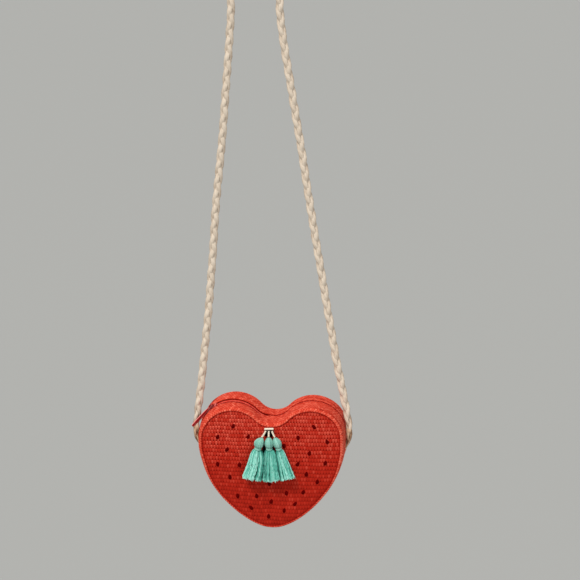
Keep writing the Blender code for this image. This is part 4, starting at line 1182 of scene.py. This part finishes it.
def tassel(side, x_top, x_head, head_r, x_low, skirt_w, fullness, body, cord_body, bulge, lean, inner, paler):
    y_head = -HALF - 0.4 - head_r
    top = np.array([x_top, -25.3, 9.4])
    head_top = np.array([x_head, y_head, 4.5])
    down = np.array([x_low, y_head, -44.0]) - head_top
    down /= np.linalg.norm(down)
    side_dir = np.array([-down[2], 0.0, down[0]])
    back = np.cross(down, side_dir)

    # two-ply cord
    b = Build()
    end = head_top - down * 0.45 + side_dir * lean * 0.8
    f = np.linspace(0, 1, 26)
    path = top + (end - top) * f[:, None] + np.array([0, -0.3, 0]) * np.sin(f * math.pi)[:, None]
    path[:, 2] += 1.2 * (1 - f) ** 2
    # painted shade: the cord is darker in the groove between its two plies and paler on their crests
    turn = np.abs(np.cos(np.arange(16)[None, :] * math.pi / 8 - run_lengths(path)[:, None] * 2 * math.pi / 4.2))
    tube(b, path, 1.0 + 0.08 * f, 16, ripple=lambda q, a: 0.84 + 0.20 * turn ** 0.7,
         rise=(0.12 + 0.62 * turn ** 0.6))
    nodes_cord = ["tassel_%s_cord" % side]
    b.make("tassel_%s_cord_thread" % side, cord_body, CREAM, nodes_cord)

    # head of laid strands
    b = Build()
    r = head_r
    strands = 16 if r > 5 else 14
    wob = rng.uniform(0, 6.28, 4)

    def ridge(a, z):
        lay = a + 0.10 * np.sin(z * 0.35 + wob[0])
        groove = np.abs(np.cos(lay * strands / 2)) ** 0.6
        big = 0.020 * np.cos(3 * a + wob[1]) + 0.015 * np.cos(5 * a + wob[2])
        return 0.925 + 0.085 * groove + big

    turned(b, head_top, down, side_dir,
           [(0.10 * r, 0.0), (0.36 * r, -0.55), (0.62 * r, -1.9), (0.87 * r, -4.1), (r, -6.8), (0.95 * r, -9.4),
            (0.80 * r, -11.3), (0.68 * r, -12.3), (0.5 * r, -12.45)], 1.0, 120, ridge, steps=42, lean=lean)
    b.make("tassel_%s_head_thread" % side, body, MINT_HEAD_LIT, ["tassel_%s_head" % side])

    # binding: thread wound round the neck
    b = Build()
    turned(b, head_top + down * 12.62, down, side_dir,
           [(0.50 * r, 0.0), (0.66 * r, -0.1), (0.70 * r, -0.5), (0.70 * r, -1.8), (0.66 * r, -2.2), (0.50 * r, -2.3)],
           1.0, 40, lambda a, z: 0.97 + 0.06 * np.abs(np.cos((z + 0.08 * a) * math.pi / 0.62)), steps=48)
    b.make("tassel_%s_binding_thread" % side, body, MINT_HEAD_LIT, ["tassel_%s_binding" % side])

    # skirt: clumps of strands, fuller towards the end, and a few strays
    b = Build()
    start = head_top + down * 14.75
    length = 36.3
    prof_d = np.array([0.0, 2.0, 7.0, 15.0, 25.0, 36.0])
    prof_w = np.array([0.34, *fullness, 1.0]) * skirt_w
    n_clump = 17
    clump_a = (np.arange(n_clump) + rng.uniform(-0.22, 0.22, n_clump)) * 2 * math.pi / n_clump
    clump_len = rng.uniform(-0.9, 0.7, n_clump)
    clump_drift = rng.uniform(-0.07, 0.07, n_clump)
    clump_tint = rng.permutation(np.linspace(0.12, 0.95, n_clump))
    clump_wave = rng.uniform(0, 6.28, n_clump)
    count = 300
    for k in range(count):
        c = k % n_clump
        spread = rng.normal(0.0, 0.115)
        depth = 1.0 - abs(rng.normal(0.0, 0.14))
        core = k % 4 == 0
        if core:
            depth = rng.uniform(0.15, 0.80)
            spread = rng.uniform(-0.3, 0.3)
        ang0 = clump_a[c] + spread * 1.8
        ang1 = clump_a[c] + clump_drift[c] * 2 + spread * 1.05
        ln = length + clump_len[c] + rng.normal(0.0, 0.7)
        stray = k in (5, 61)
        if stray:
            ln += 3.0
            depth = 1.0
            ang0 = ang1 = -0.45 if k == 5 else -1.0
        f = np.linspace(0, 1, 21)
        d = f * ln
        w = np.interp(d, prof_d, prof_w) * depth
        ang = ang0 + (ang1 - ang0) * smoothstep(0.1, 0.8, f)
        # crimped yarn: each strand wavers, and those of one clump waver together
        wave = (0.27 * np.sin(d * 1.15 + clump_wave[c]) + 0.28 * np.sin(d * 0.42 + rng.uniform(0, 6.28))) * np.sqrt(f)
        across = w * np.cos(ang) + wave + bulge * np.sin(np.clip(f * 1.1, 0, 1) * math.pi)
        deep = w * 0.5 * np.sin(ang) + wave * 0.5
        if stray:
            across = across + (1.5 if side != "left" else -0.6) * f ** 3
        path = start + d[:, None] * down + across[:, None] * side_dir + deep[:, None] * back
        path[:, 1] = np.minimum(path[:, 1], -HALF - 0.75)
        radius = (0.26 + (0.30 if core else 0.11) * smoothstep(0.0, 0.45, f)) * (1.0 + 0.10 * np.sin(d * 2.1 + k)) \
            * (1.0 - 0.25 * smoothstep(0.93, 1.0, f))
        shade = 1.0 if stray else 0.60 * clump_tint[c] + 0.40 * rng.uniform(0.0, 1.0)
        edge = min((spread / 0.15) ** 2, 2.0)
        # painted shadow: the strands that face a neighbouring tassel are darkened, as they lie in its shadow
        near = max(0.0, inner[1] * math.cos(ang1), -inner[0] * math.cos(ang1)) ** 4
        # painted shade: core strands, strands deep in the skirt, at a clump's edge and near the head are darker; the
        # tips are paler
        base = 0.12 if core else 0.46 + paler + 0.30 * np.clip(depth, 0, 1) ** 2 + (0.30 if rng.random() < 0.12 else 0.0) \
            - (0.0 if core else 0.14 * edge - rng.normal(0.0, 0.13))
        tube(b, path, radius, 6, tint=float(shade),
             rise=(base * (1 - 0.85 * near)) * (0.72 + 0.28 * smoothstep(0.0, 0.2, f)) + 0.12 * smoothstep(0.82, 0.94, f)
             + 0.30 * smoothstep(0.955, 0.985, f))
    b.make("tassel_%s_skirt_strands" % side, body, MINT, ["tassel_%s_skirt" % side])


tassel("left", -5.9, -11.8, 5.3, -20.7, 10.7, (0.54, 0.73, 0.83, 0.92), "tassel_left", "tassel_left_cord", 1.2,
       2.2, (0.0, 1.0), 0.10)
tassel("middle", -2.5, -2.7, 4.8, 0.2, 9.9, (0.54, 0.72, 0.78, 0.87), "tassel_middle", "tassel_middle", 0.0,
       0.3, (0.8, 0.8), -0.05)
tassel("right", 0.9, 5.2, 4.8, 17.8, 7.8, (0.54, 0.64, 0.74, 0.86), "tassel_right", "tassel_right_cord", 0.2,
       -1.0, (1.0, 0.0), -0.02)

# painted shade: dark strands behind the heads, between two tassels, stand in for the deep shade of the yarn there
b = Build()
for k in range(14):
    f = np.linspace(0, 1, 15)
    low = -10.4 + 0.36 * k
    path = np.stack([-3.9 + (low + 3.9) * np.sin(f * 1.57) ** 0.8, -25.6 + 1.1 * smoothstep(0, 0.5, f) - 0.12 * (k % 2),
                     -8.8 - 17.0 * f + (0.6 * (k % 3) + 5.2 * (1 - k / 13)) * np.sin(f * 3.14)], -1)
    tube(b, path, 0.34, 6, tint=0.2 + 0.05 * k, rise=0.15)
for x, z0, z1 in ((-8.9, -1.0, -10.5), (-8.2, -1.6, -11.5), (-7.5, -2.0, -11.0), (1.9, -3.0, -13.5), (2.6, -3.6, -15.0)):
    f = np.linspace(0, 1, 13)
    path = np.stack([x + 0.2 * np.sin(f * 5 + x), -24.7 - 0.5 * np.sin(f * 3.14), z0 + (z1 - z0) * f], -1)
    tube(b, path, 0.55 * (0.6 + 0.4 * np.sin(f * 3.14)), 6, tint=0.2, rise=0.1)
b.make("tassel_middle_back_strands", "tassel_middle", MINT_IN_SHADE)

# ---------------------------------------------------------------- studio
floor_mesh = bpy.data.meshes.new("studio_floor")
floor_mesh.from_pydata([(-40, -40, -1.35), (40, -40, -1.35), (40, 40, -1.35), (-40, 40, -1.35)], [], [(0, 1, 2, 3)])
floor = bpy.data.objects.new("studio_floor", floor_mesh)
scene.collection.objects.link(floor)
n = Net("studio_floor")
n.set(Base_Color=(*lin(158, 158, 155), 1.0), Roughness=0.9, Specular_IOR_Level=0.1)
floor_mesh.materials.append(n.mat)

sky = bpy.data.worlds.new("studio_sky")
sky.use_nodes = True
sky.node_tree.nodes["Background"].inputs[0].default_value = (0.86, 0.88, 0.90, 1.0)
sky.node_tree.nodes["Background"].inputs[1].default_value = 0.62
scene.world = sky


def lamp(name, direction, distance, size, power, colour):
    """An area lamp that shines along direction onto the bag."""
    aim = Vector(world((0.0, 0.0, -30.0)))
    d = Vector(direction).normalized()
    data = bpy.data.lights.new(name, "AREA")
    data.shape = "DISK"
    data.size = size
    data.energy = power
    data.color = colour
    ob = bpy.data.objects.new(name, data)
    scene.collection.objects.link(ob)
    ob.location = aim - d * distance
    ob.rotation_mode = "QUATERNION"
    ob.rotation_quaternion = d.to_track_quat("-Z", "Y")
    ob.visible_camera = False
    return ob


sun = bpy.data.lights.new("key_light", "SUN")
sun.energy = 2.80
sun.angle = math.radians(11.0)
sun.color = (1.0, 0.985, 0.96)
key = bpy.data.objects.new("key_light", sun)
scene.collection.objects.link(key)
key.rotation_mode = "QUATERNION"
key.rotation_quaternion = Vector((363, 460, -900)).to_track_quat("-Z", "Y")
lamp("fill_light", (-500, 700, -250), 2.6, 1.6, 14.0, (0.94, 0.97, 1.0))
